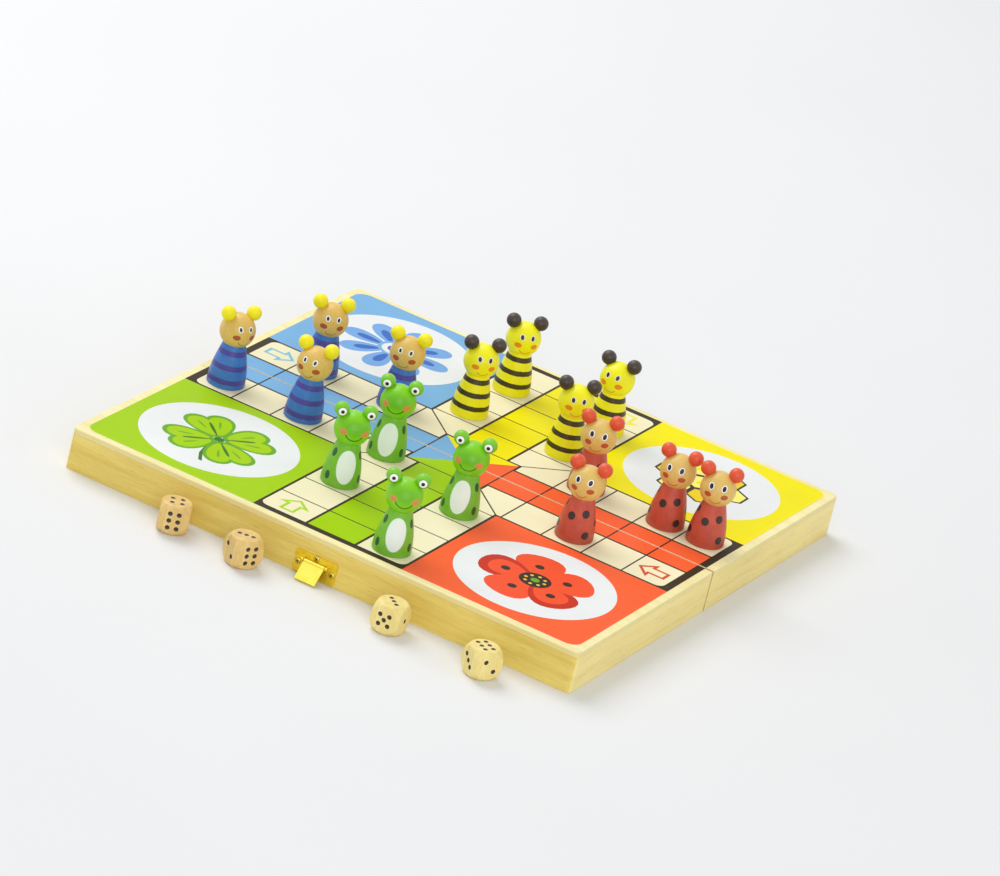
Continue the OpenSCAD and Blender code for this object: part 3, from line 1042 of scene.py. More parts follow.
@dataclass
class PlayingField:
    """The printed sheets: four arms of cells, four corner squares and a home square."""

    edge: float = 145.5
    edge_round: float = 7.0
    home: float = 22.3
    home_line: float = 1.0
    lane: float = 14.6
    arm: float = 43.4
    first: float = 46.3
    pitch: float = 23.8
    cells: int = 4
    thick: float = 1.5
    thin: float = 0.9
    cell_round: float = 4.5
    disc_at: float = 94.5
    disc_r: float = 42.5
    fold_margin: float = 0.55
    arrow: Outline = ((0, 9.0), (-9.0, 0.6), (-4.3, 0.6), (-4.3, -8.0), (4.3, -8.0), (4.3, 0.6), (9.0, 0.6))
    arrow_line: float = 1.7
    comb_step: float = 17.4
    tints: tuple[Tint, ...] = (Tint.GREEN, Tint.RED, Tint.YELLOW, Tint.BLUE)
    arrow_tints: tuple[Tint, ...] = (Tint.GREEN_ARROW, Tint.RED_ARROW, Tint.YELLOW_ARROW, Tint.BLUE_ARROW)

    @property
    def spot(self) -> Point:
        """Middle of the disc in the front left corner, where every motif is drawn."""
        return (-self.disc_at, -self.disc_at)

    def lanes(self, tint: Tint) -> list[Patch]:
        """Return the front arm's three lanes of cells.

        Args:
            tint: the middle lane's colour.

        Returns:
            The cells.
        """
        near, far = self.lane + self.thick / 2, self.arm - self.thick / 2
        inner = near - self.thick
        found = []
        for count in range(self.cells):
            top = -(self.first + count * self.pitch + self.thin / 2)
            low = -(self.first + (count + 1) * self.pitch - self.thin / 2)
            for left, right, corner in ((-far, -near, 0), (near, far, 1)):
                ends = (corner,) if count == self.cells - 1 else ()
                found.append(Patch(rounded((left, low), (right, top), ends, self.cell_round), Tint.CELL))
            found.append(Patch(rounded((-inner, low), (inner, top)), tint))
        start = self.first - self.thin / 2
        return found + [Patch(rounded((-inner, -start), (inner, -self.home - self.thin / 2)), tint)]

    def arm_patches(self, tint: Tint, arrow_tint: Tint) -> list[Patch]:
        """Return the front arm's cells, home triangle, start arrow and corner square.

        Args:
            tint: the arm's colour.
            arrow_tint: colour of the start arrow's outline.

        Returns:
            The areas, the lower ones first.
        """
        near, far = self.lane + self.thick / 2, self.arm - self.thick / 2
        out, start, inside = self.home + self.home_line, self.first - self.thin / 2, self.home - self.thin / 2
        slope = self.thin / 2 * math.sqrt(2)
        square = rounded((-self.edge,) * 2, (-self.arm - self.thick / 2,) * 2, (0,), self.edge_round)
        found = [Patch(square, tint)] + self.lanes(tint)
        for side in (-1, 1):
            corner = ((near, -out), (out - slope, -out), (far, -far - slope), (far, -start), (near, -start))
            found.append(Patch(tuple((side * x, y) for x, y in corner), Tint.CELL))
        found.append(Patch(((0.0, 0.0), (-inside, -inside), (inside, -inside)), tint))
        middle = (-(self.lane + self.arm) / 2, -(self.first + (self.cells - 0.5) * self.pitch))
        outline = tuple((middle[0] + x, middle[1] + y) for x, y in self.arrow)
        return found + [Patch(outline, arrow_tint), Patch(shrunk(outline, self.arrow_line), Tint.CELL),
                        self.dot(self.disc_r, 96, Tint.DISC)]

    def petals(self, angles: Iterable[int], near: float, far: float, width: float, tint: Tint) -> list[Patch]:
        """Return petals round the motif's middle."""
        return [Patch(petal(self.spot, angle, near, far, width), tint) for angle in angles]

    def dots(self, angles: Iterable[int], out: float, radius: float, steps: int, tint: Tint) -> list[Patch]:
        """Return dots in a ring round the motif's middle."""
        return [Patch(disc(polar(self.spot, out, angle), radius, steps), tint) for angle in angles]

    def dot(self, radius: float, steps: int, tint: Tint) -> Patch:
        """Return a dot on the motif's middle."""
        return Patch(disc(self.spot, radius, steps), tint)

    def clover(self) -> list[Patch]:
        """Return a four-leaved clover for the green corner."""
        x, y = self.spot
        curve = ((0.0, -3.0), (0.4, -14.0), (2.4, -23.0), (6.6, -31.0))
        stem = [(x + a - 1.0, y + b) for a, b in curve] + [(x + a + 1.2, y + b) for a, b in curve[::-1]]
        found = [Patch(tuple(stem), Tint.DARK_LEAF)]
        for angle in range(45, 405, 90):
            lobes = (angle - 16, angle + 16)
            found += self.petals(lobes, 2.5, 30, 15.5, Tint.LEAF)
            found += self.petals(lobes, 5.0, 27.5, 12.0, Tint.GREEN)
            found += self.petals((angle,), 4.0, 20, 1.8, Tint.DARK_LEAF)
            found += self.petals(lobes, 13, 22, 1.3, Tint.LEAF)
        return found + [self.dot(2.8, 24, Tint.DARK_LEAF)]

    def poppy(self) -> list[Patch]:
        """Return a red flower with a dark, dotted middle."""
        around = (20, 92, 164, 236, 308)
        found = []
        for index, angle in enumerate(around):
            found += self.petals((angle,), 2, 31, 25, Tint.POPPY_DARK if index % 2 else Tint.POPPY)
        found += self.petals(around[1::2], 4, 26, 17, Tint.POPPY)
        found += self.dots(around, 17, 2.5, 20, Tint.SOOT) + [self.dot(8.5, 36, Tint.SOOT)]
        return found + self.dots(range(0, 360, 45), 5.4, 1.0, 12, Tint.WARM) + [self.dot(2.4, 20, Tint.LEAF)]

    def honeycomb(self) -> list[Patch]:
        """Return seven cells of honeycomb for the yellow corner."""
        spots = [self.spot] + [polar(self.spot, self.comb_step, angle) for angle in range(0, 360, 60)]
        found = []
        for index, spot in enumerate(spots):
            found.append(Patch(disc(spot, 10.1, 6, 30), Tint.SOOT))
            found.append(Patch(disc(spot, 8.6, 6, 30), Tint.HONEY if index % 2 else Tint.HONEY_PALE))
        return found + [Patch(petal(spot, 60, -3.5, 3.5, 3.2), Tint.YELLOW) for spot in spots[::2]]

    def daisy(self) -> list[Patch]:
        """Return a blue flower of two rings of petals for the blue corner."""
        around = range(0, 360, 45)
        found = self.petals(around, 6, 32, 12.5, Tint.PETAL) + self.petals(around, 9, 24, 5, Tint.PETAL_DARK)
        return found + [self.dot(10, 40, Tint.BLUE), self.dot(7.8, 36, Tint.DISC),
                        self.dot(4.6, 30, Tint.PETAL_DARK)]

    def patches(self) -> list[Patch]:
        """Return every printed area of the board, the lower ones first."""
        found = []
        motifs = (self.clover, self.poppy, self.honeycomb, self.daisy)
        for count, (tint, arrow, motif) in enumerate(zip(self.tints, self.arrow_tints, motifs)):
            found += [patch.quarter(count) for patch in self.arm_patches(tint, arrow) + motif()]
        margin = self.fold_margin
        return found + [Patch(rounded((-self.edge, -margin), (self.edge, margin)), Tint.FOLD)]

    def sheet(self, node: str, side: int) -> bpy.types.Object:
        """Make one half's printed sheet.

        Args:
            node: the CAD node that it stands for.
            side: -1 for the front half, 1 for the rear half.

        Returns:
            The sheet, with its inks as an attribute.
        """
        low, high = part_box(node)
        fold = min(abs(low.y), abs(high.y)) / MM
        outline = rounded((-self.edge, -self.edge), (self.edge, -fold), (0, 1), self.edge_round)
        shapes = [Patch(tuple((x, -side * y) for x, y in outline), Tint.LINE)]
        shapes += [p for p in self.patches() if any(side * y > fold for _, y in p.outline)]
        points: list[Vector] = []
        faces: list[list[int]] = []
        for shape in shapes:
            corners = shape.outline if turning(shape.outline) > 0 else shape.outline[::-1]
            faces.append(list(range(len(points), len(points) + len(corners))))
            points += [Vector(p) for p in corners]
        spots, _, areas, _, _, origins = delaunay_2d_cdt(points, [], faces, 1, SAME_PRINT_SPOT, True)
        bm = bmesh.new()
        layer = bm.loops.layers.float_color.new(INK)

        def inked(cell: bmesh.types.BMFace, tint: Tint) -> None:
            """Give a face its ink."""
            for loop in cell.loops:
                loop[layer] = linear(tint.value)

        verts = [bm.verts.new((p.x * MM, p.y * MM, high.z)) for p in spots]
        for area, origin in zip(areas, origins):
            if 0 in origin:
                inked(bm.faces.new([verts[i] for i in area]), shapes[max(origin)].tint)
        bmesh.ops.delete(bm, geom=[v for v in bm.verts if not v.link_faces], context="VERTS")
        for cell in bm.faces:
            if cell.normal.z < 0:
                cell.normal_flip()
        rim = [e for e in bm.edges if len(e.link_faces) == 1]
        walls = bmesh.ops.extrude_edge_only(bm, edges=rim)["geom"]
        lower = [v for v in walls if isinstance(v, bmesh.types.BMVert)]
        bmesh.ops.translate(bm, vec=(0, 0, low.z - high.z), verts=lower)
        bmesh.ops.edgeloop_fill(bm, edges=[e for e in bm.edges if len(e.link_faces) == 1])
        for cell in bm.faces:
            if abs(cell.calc_center_median().z - high.z) > SHEET_TOP:
                inked(cell, Tint.PAPER)
        bmesh.ops.recalc_face_normals(bm, faces=bm.faces)
        return drawn(node, bm, PrintFinish())

    def build(self) -> None:
        """Make and dress both sheets."""
        for node, side in (("print_front", -1), ("print_rear", 1)):
            seated(self.sheet(node, side), node)


@dataclass
class Screws:
    """Cross-slotted screws, one group for each plate."""

    head: float = 1.5 * MM
    crown: float = 0.5 * MM
    flat_crown: float = 0.03 * MM
    sink: float = 0.1 * MM
    shank: float = 0.8 * MM
    slot: float = 0.5 * MM
    slot_depth: float = 0.36 * MM
    leaf: float = 0.6 * MM
    leaf_spread: float = 10.0 * MM
    slack: float = 0.01 * MM

    def tree(self) -> bpy.types.NodeTree:
        """Return the tree that puts a screw at each point."""
        tree = Tree("screw_row")
        head, crown, sink = tree.sizes("Head Radius", "Crown", "Sink")
        shank, length, slot, depth = tree.sizes("Shank Radius", "Shank Length", "Slot Width", "Slot Depth")
        metal, slot_shade = tree.sizes("Metal", "Slot Shade", kind="Material")
        turn, seed = tree.sizes("Turn", kind="Vector") + tree.sizes("Seed", kind="Int")
        share = tree.math("MINIMUM", tree.over(tree.height(), crown), 0.999)
        curve = tree.math("SQRT", tree.minus(1.0, tree.times(share, share)))
        dome = tree.turned(crown, tree.times(head, curve), 14, 32, 0.8)
        cone = tree.raised(tree.cone(32, head, shank, sink), tree.times(sink, -1.0))
        rod = tree.raised(tree.cone(24, shank, tree.times(shank, 0.8), length),
                          tree.times(tree.plus(length, sink), -0.999))
        wide, high = tree.times(head, 1.3), tree.times(depth, 2.0)
        bars = tree.fused(tree.cube(wide, slot, high), tree.cube(slot, wide, high))
        screw = tree.cut(tree.fused(tree.fused(dome, cone), rod), tree.raised(bars, crown))
        x, y, _ = tree.parts(tree.vector("ABSOLUTE", tree.position()))
        level = tree.height()
        bounds = ((tree.math("MINIMUM", x, y), tree.times(slot, 0.5)),
                  (tree.math("MAXIMUM", x, y), tree.times(wide, 0.5)),
                  (tree.minus(crown, depth), level))
        inner = [tree.math("LESS_THAN", small, tree.plus(large, self.slack)) for small, large in bounds]
        inner.append(tree.math("GREATER_THAN", level, 0.0))
        cut_in = tree.times(tree.times(*inner[:2]), tree.times(*inner[2:]))
        rows = {"Points": tree.start.outputs["Geometry"], "Instance": tree.tagged(screw, "slot", cut_in),
                "Rotation": turn}
        placed = tree.shape("InstanceOnPoints", rows)
        random = tree.node("FunctionNodeRandomValue", inputs={"Min": 0.0, "Max": math.pi, "Seed": seed},
                           data_type="FLOAT")
        spin = next(s for s in random.outputs if s.enabled)
        spun = {"Instances": placed, "Rotation": tree.joined(0.0, 0.0, spin), "Local Space": True}
        # Painted shade: the inside of each slot takes a dark metal, for the shade in it.
        shaded_slot = tree.math("GREATER_THAN", tree.read("slot", "FLOAT"), 0.5)
        return tree.done(tree.shape("RotateInstances", spun), [(metal, None), (slot_shade, shaded_slot)])

    def row(self, tree: bpy.types.NodeTree, node: str, places: list[Vector], turn: Vector, flat: bool,
            seed: int) -> None:
        """Make one group of screws, as long as the node's own.

        Args:
            tree: the tree that puts a screw at each point.
            node: the CAD node that the group stands for.
            places: the middle of each head's underside.
            turn: rotation that turns +Z to the way the heads face.
            flat: whether the heads are countersunk.
            seed: seed of the slots' turns.
        """
        low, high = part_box(node)
        crown, sink = (self.flat_crown, self.leaf) if flat else (self.crown, self.sink)
        long = high.z - low.z - sink if flat else high.y - low.y - crown - sink
        values = {"Head Radius": self.head, "Crown": crown, "Sink": sink, "Shank Radius": self.shank,
                  "Shank Length": long, "Slot Width": self.slot, "Slot Depth": self.slot_depth,
                  "Turn": turn, "Seed": seed,
                  "Metal": BrassFinish("screw_brass", (242, 216, 112), (208, 172, 68), 0.3).material(),
                  # Dark metal that paints the shade inside the slots.
                  "Slot Shade": BrassFinish("slot_painted_shade", (84, 64, 26), (58, 42, 18), 0.5).material()}
        seated(grown(node, places, tree, values), node)

    def faced(self, plate: str) -> list[Vector]:
        """Find the screws of a wall's plate.

        Args:
            plate: the plate's node.

        Returns:
            The middles of the heads' undersides, none for a piece without such screws.
        """
        if plate == "latch_plate":
            low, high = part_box("latch_screws")
            front, level = low.y + self.crown, low.z + self.head
            return [Vector((low.x + self.head, front, level)), Vector((high.x - self.head, front, level)),
                    Vector((0, front, high.z - self.head))]
        if plate == "catch_plate":
            low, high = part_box("catch_screws")
            front, level = high.y - self.crown, low.z + self.head
            return [Vector((x, front, level)) for x in (low.x + self.head, high.x - self.head)]
        return []

    def build(self) -> None:
        """Make and dress every group."""
        tree = self.tree()
        for half, seed in (("front", 2), ("rear", 4)):
            node = f"hinge_screws_{half}"
            low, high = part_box(node)
            leaves = [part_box(f"leaf_{half}_{end}") for end in ("left", "right")]
            along = [(lo.x + hi.x) / 2 + way * self.leaf_spread for lo, hi in leaves for way in (-1, 1)]
            places = [Vector((x, (low.y + high.y) / 2, low.z)) for x in along]
            self.row(tree, node, places, Vector((math.pi, 0, 0)), True, seed)
        for wall, quarter, seed in (("latch", math.pi / 2, 11), ("catch", -math.pi / 2, 12)):
            turn = Vector((quarter, 0, 0))
            self.row(tree, f"{wall}_screws", self.faced(f"{wall}_plate"), turn, False, seed)


@dataclass
class Brasswork:
    """The two hinges, the latch and its catch, without their screws."""

    screws: Screws = field(default_factory=Screws)
    edge_round: float = 0.1 * MM
    leaves: tuple[str, ...] = ("leaf_front_left", "leaf_front_right", "leaf_rear_left", "leaf_rear_right")
    plates: tuple[str, ...] = ("latch_plate", "latch_flap", "catch_plate")
    pins: tuple[str, ...] = ("hinge_pin_left", "hinge_pin_right", "latch_pin")

    def build(self) -> None:
        """Make and dress every leaf, plate and pin."""
        for node in self.leaves:
            seated(eased(node, BrassFinish("hinge_brass"), self.edge_round), node)
        for node in self.plates:
            pale = node == "latch_flap"
            tones = ((246, 234, 104), (236, 218, 78)) if pale else ((242, 214, 62), (226, 190, 42))
            wells = tuple((spot.x, spot.z) for spot in self.screws.faced(node))
            finish = BrassFinish(f"{node}_brass", *tones, 0.4, Axis.Z, wells)
            seated(eased(node, finish, self.edge_round), node)
        for node in self.pins:
            steel = BrassFinish("pin_metal", (196, 190, 176), (150, 142, 126), 0.3)
            seated(eased(node, steel, self.edge_round), node)


SKIN = (234, 202, 110)
SKIN_SHADE = (214, 170, 80)
EYE_WHITE = (254, 254, 252)
PUPIL = (26, 22, 20)
SIDES = (-1, 1)

Paints = tuple[PaintFinish, PaintFinish, PaintFinish]


def bands(colour: Colour, levels: Iterable[float], high: float) -> tuple[Mark, ...]:
    """Return rings round a body, at some levels."""
    return tuple(Mark(MarkShape.BAND, colour, z=z, high=high) for z in levels)


def spots(colour: Colour, places: Iterable[Point], wide: float, high: float) -> tuple[Mark, ...]:
    """Return ovals on a body's side, each at a turn in degrees and a level."""
    return tuple(Mark(MarkShape.SPOT, colour, z=z, wide=wide, high=high, turn=turn) for turn, z in places)


def face(cheek: Colour, smile: Colour, rim: Colour, big: float, pupil: float) -> tuple[Mark, ...]:
    """Return the eyes, cheeks and smile that three of the kinds share.

    Args:
        cheek: colour of the cheeks.
        smile: colour of the smile.
        rim: colour of the fine line round the eyes.
        big: size of the eyes against the mouse's.
        pupil: half the pupil's width.

    Returns:
        The marks, the lower ones first.
    """
    marks = []
    for side in SIDES:
        marks.append(Mark(MarkShape.OVAL, cheek, side * 4.4, 29.8, 1.85, 1.45))
        for colour, wide, high in ((rim, 1.47, 1.79), (EYE_WHITE, 1.34, 1.66), (PUPIL, pupil, pupil + 0.34)):
            marks.append(Mark(MarkShape.OVAL, colour, side * 3.05 * big, 34.3, wide * big, high * big))
    return (*marks, Mark(MarkShape.ARC, smile, 0.0, 28.7, 3.4, 0.2))


def mouse_paints() -> Paints:
    """Return the mouse's blue striped body, wooden head and yellow ears."""
    stripes = bands((76, 68, 158), (4.0, 11.6, 19.2), 1.4)
    look = face((176, 84, 46), (156, 92, 44), (186, 140, 76), 0.96, 0.76)
    return (PaintFinish("mouse_body", (66, 126, 206), (50, 102, 184), stripes, foot_shade=0.1),
            PaintFinish("mouse_head", SKIN, SKIN_SHADE, look, True),
            PaintFinish("mouse_ears", (252, 240, 22), (242, 224, 20)))


def frog_paints() -> Paints:
    """Return the frog's spotted green body, its head and its eyes."""
    places = ((-62, 17.6), (62, 17.6), (-56, 5.4), (56, 5.4), (110, 11.5), (-110, 11.5), (148, 5.2),
              (-148, 5.2), (155, 17.8), (-155, 17.8), (180, 11.0))
    body = spots((236, 246, 238), ((0.0, 11.8),), 5.2, 8.8) + spots((44, 92, 48), places, 1.55, 2.35)
    head = (Mark(MarkShape.OVAL, (84, 168, 34), 0.0, 33.4, 6.4, 3.8, share=0.5),
            *(Mark(MarkShape.OVAL, (232, 128, 84), side * 5.6, 31.0, 1.75, 1.6, share=0.9) for side in SIDES),
            Mark(MarkShape.ARC, (28, 76, 38), 0.0, 32.2, 5.0, 0.27))
    rings = (((74, 142, 56), 2.45), (EYE_WHITE, 2.15), (PUPIL, 0.98))
    eyes = tuple(Mark(MarkShape.OVAL, colour, side * 7.5, 40.1, wide, wide)
                 for side in SIDES for colour, wide in rings)
    return (PaintFinish("frog_body", (128, 196, 52), (102, 170, 44), body, foot_shade=0.12),
            PaintFinish("frog_head", (134, 214, 12), (112, 194, 16), head),
            PaintFinish("frog_eyes", (128, 206, 40), (108, 188, 36), eyes))


def bee_paints() -> Paints:
    """Return the bee's banded yellow body, its head and its black balls."""
    look = face((236, 146, 26), (222, 120, 30), (226, 208, 40), 0.94, 0.98)
    stripes = bands((64, 56, 22), (6.2, 13.3, 20.4), 1.35)
    return (PaintFinish("bee_body", (248, 244, 20), (234, 226, 20), stripes),
            PaintFinish("bee_head", (250, 248, 22), (240, 234, 24), look),
            PaintFinish("bee_feelers", (74, 62, 54), (56, 46, 40)))


def beetle_paints() -> Paints:
    """Return the ladybird's dotted red body, wooden head and red balls."""
    places = ((-14, 14.2), (38, 16.4), (46, 5.2), (-74, 18.6), (-66, 6.8), (92, 11.0), (126, 18.2),
              (138, 4.8), (172, 11.6), (-150, 18.0), (-142, 5.4), (-108, 11.8))
    look = face((188, 88, 52), (168, 92, 50), (190, 140, 84), 1.12, 0.88)
    dots = spots((58, 44, 40), places, 2.1, 2.1)
    return (PaintFinish("ladybird_body", (212, 92, 66), (168, 68, 58), dots, foot_shade=0.2),
            PaintFinish("ladybird_head", (234, 204, 120), (216, 176, 86), look, True),
            PaintFinish("ladybird_feelers", (232, 92, 54), (212, 74, 46)))


class Kind(Enum):
    """The kinds of pawn: node name, material slot, each one's turn in degrees, and its paints."""

    MOUSE = ("mouse", "paint_blue", (57, 35, 5, 16), mouse_paints)
    FROG = ("frog", "paint_green", (20, 36, 17, 28), frog_paints)
    BEE = ("bee", "paint_yellow", (38, 39, 32, 3), bee_paints)
    BEETLE = ("beetle", "paint_red", (20, 11, 11, 20), beetle_paints)

    def __init__(self, node: str, slot: str, turns: tuple[int, ...], paints: Callable[[], Paints]) -> None:
        """Name the kind's values."""
        self.node, self.slot, self.turns, self.paints = node, slot, turns, paints


@dataclass
class Pawns:
    """Sixteen turned pawns: a bell body, a head ball and two small balls each."""

    foot: float = 10.2 * MM
    foot_edge: float = 0.5 * MM
    neck: float = 6.0 * MM
    neck_seat: float = 0.15 * MM
    head: float = 9.5 * MM
    head_height: float = 30.5 * MM
    ball: float = 4.0 * MM
    ball_out: float = 7.5 * MM
    ball_seat: float = 1.2 * MM

    def tree(self) -> bpy.types.NodeTree:
        """Return the tree that turns one pawn and puts it at its place."""
        tree = Tree("turned_pawn")
        foot, edge, neck, tall = tree.sizes("Foot Radius", "Foot Edge", "Neck Radius", "Neck Height")
        head, head_z, ball = tree.sizes("Head Radius", "Head Height", "Ball Radius")
        out, ball_z, turn = tree.sizes("Ball Out", "Ball Height", "Turn")
        place, = tree.sizes("Place", kind="Vector")
        paints = tree.sizes("Body Paint", "Head Paint", "Ball Paint", kind="Material")
        level = tree.height()
        share = tree.over(tree.minus(level, edge), tree.minus(tall, edge))
        swell = tree.math("COSINE", tree.times(tree.math("MAXIMUM", share, 0.0), math.pi / 2))
        radius = tree.plus(neck, tree.times(tree.minus(foot, neck), swell))
        lack = tree.math("MAXIMUM", tree.minus(1.0, tree.over(level, edge)), 0.0)
        arc = tree.math("SQRT", tree.minus(1.0, tree.times(lack, lack)))
        eased_in = tree.times(edge, tree.minus(1.0, arc))
        body = tree.turned(tall, tree.minus(radius, eased_in), 72, 96, 2.0)
        skull = tree.raised(tree.ball(head, 96), head_z)
        pair = {"Count": 2, "Start Location": tree.joined(tree.times(out, -1.0), 0.0, ball_z),
                "Offset": tree.joined(tree.times(out, 2.0), 0.0, 0.0)}
        balls = tree.repeated(tree.shape("MeshLine", pair), tree.ball(ball, 48))
        parts = [tree.tagged(shape, "part", index, "INT") for index, shape in enumerate((body, skull, balls))]
        whole = tree.placed_local(tree.together(*parts))
        number = tree.read("part", "INT")
        where = [None] + [tree.math("COMPARE", number, float(index), 0.1) for index in (1, 2)]
        return tree.done(tree.moved(whole, place, tree.joined(0.0, 0.0, turn)), zip(paints, where))

    def build(self) -> None:
        """Make and dress the sixteen pawns."""
        shape = self.tree()
        reach = self.head + self.ball - self.ball_seat
        ball_height = self.head_height + math.sqrt(reach ** 2 - self.ball_out ** 2)
        neck_height = self.head_height - math.sqrt(self.head ** 2 - self.neck ** 2) + self.neck_seat
        sizes = {"Foot Radius": self.foot, "Foot Edge": self.foot_edge, "Neck Radius": self.neck,
                 "Neck Height": neck_height, "Head Radius": self.head, "Head Height": self.head_height,
                 "Ball Radius": self.ball, "Ball Out": self.ball_out, "Ball Height": ball_height}
        for kind in Kind:
            body, head, balls = [paint.material() for paint in kind.paints()]
            paints = {"Body Paint": body, "Head Paint": head, "Ball Paint": balls}
            for count, turn in enumerate(kind.turns, 1):
                node = f"{kind.node}_{count}"
                low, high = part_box(node)
                place = Vector(((low.x + high.x) / 2, (low.y + high.y) / 2, low.z))
                values = sizes | paints | {"Place": place, "Turn": math.radians(turn)}
                seated(grown(node, [Vector()], shape, values), node)


@dataclass
class Dice:
    """Four wooden dice with hollow, painted pips.

    The numbers of each die stand on its front, right, back, left, top and bottom.
    """

    side: float = 16.0 * MM
    corner: float = 2.8 * MM
    blend: float = 0.5 * MM
    pip: float = 1.25 * MM
    pip_depth: float = 0.5 * MM
    step: float = 2.6 * MM
    six: Point = (0.88, 1.5)
    points: int = 37
    skin: float = 0.02 * MM
    round_skin: float = 0.4 * MM
    gloss: float = 0.4
    # Painted shade: a darker copy of the cream wood, for two of the dice.
    shaded_tan: tuple[Colour, Colour] = ((238, 208, 136), (214, 174, 98))
    cream: tuple[Colour, Colour] = ((248, 232, 158), (232, 206, 118))
    turns: tuple[int, ...] = (26, 58, 3, 57)
    numbers: tuple[tuple[int, ...], ...] = ((6, 5, 1, 2, 4, 3), (6, 5, 1, 2, 3, 4), (5, 1, 2, 6, 3, 4),
                                            (2, 4, 5, 3, 6, 1))

    def layout(self, number: int) -> list[Point]:
        """Lay out a number's pips.

        Args:
            number: the number of pips, 1 to 6.

        Returns:
            Their places on the face, in steps from its middle.
        """
        if number == 6:
            wide, high = self.six
            return [(x, y) for x in (-wide, wide) for y in (-high, 0, high)]
        cross = [(-1, 1), (1, -1)]
        spots = [(0, 0)] if number % 2 else []
        if number > 1:
            spots += cross
        if number > 3:
            spots += [(-x, y) for x, y in cross]
        return spots

    def pips(self, numbers: tuple[int, ...]) -> list[Vector]:
        """Return the middles of the balls that hollow a die's pips.

        Args:
            numbers: the number on each face in turn.

        Returns:
            The middles, from the die's own middle.
        """
        ball = (self.pip ** 2 + self.pip_depth ** 2) / (2 * self.pip_depth)
        upright = Matrix.Rotation(math.radians(90), 3, "X")
        ways = [Matrix.Rotation(math.radians(a), 3, "Z") @ upright for a in (0, 90, 180, -90)]
        ways += [Matrix.Identity(3), Matrix.Rotation(math.pi, 3, "X")]
        return [way @ Vector((x * self.step, y * self.step, self.side / 2 + ball - self.pip_depth))
                for way, number in zip(ways, numbers) for x, y in self.layout(number)]

    def tree(self) -> bpy.types.NodeTree:
        """Return the tree that rounds a die and hollows its pips."""
        tree = Tree("round_die")
        side, corner, blend = tree.sizes("Side", "Corner", "Blend")
        pip, depth, turn = tree.sizes("Pip Radius", "Pip Depth", "Turn")
        place, = tree.sizes("Place", kind="Vector")
        wood, paint = tree.sizes("Wood", "Pip Paint", kind="Material")
        spot = tree.position()
        far = tree.length(spot)
        reach = tree.plus(tree.times(side, 0.5), corner)
        kept = tree.over(tree.math("SMOOTH_MIN", far, reach, blend), far)
        block = {"Geometry": tree.cube(side, side, side, self.points), "Position": tree.scaled(spot, kept)}
        squares = tree.plus(tree.times(pip, pip), tree.times(depth, depth))
        ball = tree.over(squares, tree.times(depth, 2.0))
        holes = tree.repeated(tree.start.outputs["Geometry"], tree.ball(ball, 32))
        solid = tree.placed_local(tree.cut(tree.shape("SetPosition", block), holes))
        own = tree.position()
        x, y, z = tree.parts(tree.vector("ABSOLUTE", own))
        flat = tree.math("MAXIMUM", x, tree.math("MAXIMUM", y, z))
        inside = tree.math("LESS_THAN", flat, tree.minus(tree.times(side, 0.5), self.skin))
        low = tree.math("LESS_THAN", tree.length(own), tree.minus(reach, self.round_skin))
        solid = tree.tagged(solid, "pip", tree.times(inside, low))
        placed = tree.moved(solid, place, tree.joined(0.0, 0.0, turn))
        hollow = tree.math("GREATER_THAN", tree.read("pip", "FLOAT"), 0.5)
        return tree.done(placed, [(wood, None), (paint, hollow)])

    def build(self) -> None:
        """Make and dress the four dice: two of cream wood, and two of a darker copy of it that paints the
        shade they stand in.
        """
        shape = self.tree()
        shaded_tan = WoodFinish("die_wood_shaded", Axis.Z, *self.shaded_tan, self.gloss, local=True).material()
        cream = WoodFinish("die_wood_cream", Axis.Z, *self.cream, self.gloss, local=True).material()
        woods = (shaded_tan, shaded_tan, cream, cream)
        for count, (turn, numbers, wood) in enumerate(zip(self.turns, self.numbers, woods), 1):
            node = f"die_{count}"
            low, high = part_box(node)
            values = {"Side": self.side, "Corner": self.corner, "Blend": self.blend, "Pip Radius": self.pip,
                      "Pip Depth": self.pip_depth, "Place": (low + high) / 2, "Turn": math.radians(turn),
                      "Wood": wood, "Pip Paint": PipFinish().material()}
            seated(grown(node, self.pips(numbers), shape, values), node)


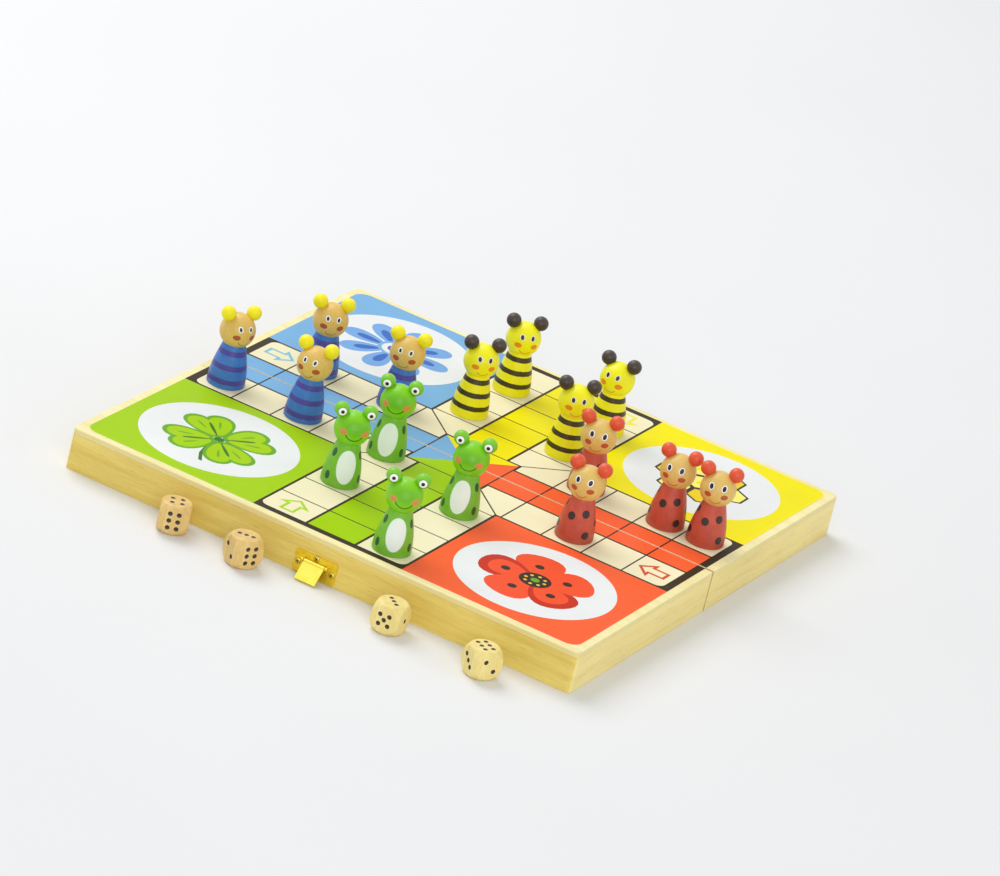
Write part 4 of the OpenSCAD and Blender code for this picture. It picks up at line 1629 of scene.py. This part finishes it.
@dataclass
class Studio:
    """The pale floor, the soft lamps and the camera.

    Each lamp is its place, its size in metres and its power in watts. Angles are degrees.
    """

    floor_half: float = 6.0
    floor_level: float = -0.05 * MM
    floor_tint: Colour = (230, 231, 232)
    sky: float = 0.55
    azimuth: float = 22.96
    elevation: float = 23.11
    roll: float = 14.21
    distance: float = 3.863
    lens: float = 263.9
    sensor: float = 36.0
    view_end: float = 50.0
    aim: tuple[float, float, float] = (-0.0094, 0.0618, 0.015)
    lamps: tuple[tuple[float, float, float, float, float], ...] = (
        (-1.3, 0.5, 1.9, 1.6, 33.0),
        (1.15, -1.8, 1.1, 1.4, 15.0),
        (2.3, 0.3, 1.0, 1.2, 5.0),
    )

    def floor(self) -> None:
        """Lay the floor just under the rims, so that no two faces share a level."""
        half, low = self.floor_half, self.floor_level
        corners = [(-half, -half, low), (half, -half, low), (half, half, low), (-half, half, low)]
        mesh = bpy.data.meshes.new("floor")
        mesh.from_pydata(corners, [], [(0, 1, 2, 3)])
        shade = Shade("floor_paper")
        place = shade.place()
        colour = shade.toned(linear(self.floor_tint), shade.swing(shade.noise(place, 3.0, 2.0), 0.985, 1.01))
        mesh.materials.append(shade.finish(colour, 0.9, shade.bumped(shade.noise(place, 900.0), 0.00002)))
        added("floor", mesh)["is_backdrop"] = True

    def light(self) -> None:
        """Hang the lamps and set the sky, which the camera and mirrors see as white."""
        for index, (x, y, z, size, power) in enumerate(self.lamps, 1):
            lamp = bpy.data.lights.new(f"lamp_{index}", "AREA")
            lamp.size, lamp.energy = size, power
            holder = added(lamp.name, lamp)
            holder.location = (x, y, z)
            holder.rotation_euler = Vector((-x, -y, -z)).to_track_quat("-Z", "Y").to_euler()
        world = bpy.data.worlds.new("sky")
        bpy.context.scene.world = world
        world.use_nodes = True
        graph = Graph(world.node_tree)
        rays = graph.node("ShaderNodeLightPath").outputs
        seen = rays["Is Camera Ray"]
        for name in ("Is Glossy Ray", "Is Transmission Ray"):
            seen = graph.math("MAXIMUM", seen, rays[name])
        level = graph.node("ShaderNodeMapRange", inputs={"Value": seen, "To Min": self.sky})
        back = graph.tree.nodes["Background"]
        graph.put(back.inputs["Strength"], level.outputs["Result"])
        back.inputs["Color"].default_value = (1, 1, 1, 1)

    def camera(self) -> None:
        """Stand the camera at the photograph's viewing angle."""
        turn, rise, roll = (math.radians(a) for a in (self.azimuth, self.elevation, self.roll))
        ahead = Vector((-math.sin(turn) * math.cos(rise), math.cos(turn) * math.cos(rise), -math.sin(rise)))
        level = ahead.cross(Vector((0, 0, 1))).normalized()
        upright = level.cross(ahead)
        right = level * math.cos(roll) + upright * math.sin(roll)
        up = upright * math.cos(roll) - level * math.sin(roll)
        data = bpy.data.cameras.new("camera")
        data.lens, data.sensor_width, data.clip_end = self.lens, self.sensor, self.view_end
        eye = added("camera", data)
        spin = Matrix((right, up, -ahead)).transposed().to_4x4()
        eye.matrix_world = Matrix.Translation(Vector(self.aim) - ahead * self.distance) @ spin
        bpy.context.scene.camera = eye

    def build(self) -> None:
        """Set up the whole studio."""
        self.camera()
        self.floor()
        self.light()
        bpy.context.scene.view_settings.view_transform = "Standard"


def plain(box: tuple[Vector, Vector]) -> list[list[float]]:
    """Return a box's corners as plain lists."""
    return [[round(float(c), 6) for c in corner] for corner in box]


def main() -> None:
    """Build the board box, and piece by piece."""
    logging.basicConfig(level=logging.INFO, format="%(name)s %(message)s")
    for part in (Studio(), Board(), PlayingField(), Brasswork(), Screws(), Pawns(), Dice()):
        LOG.info("building %s", type(part).__name__)
        part.build()
    {"cad": plain(CAD_BOX), "visual": plain(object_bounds())}


if __name__ == "__main__":
    main()
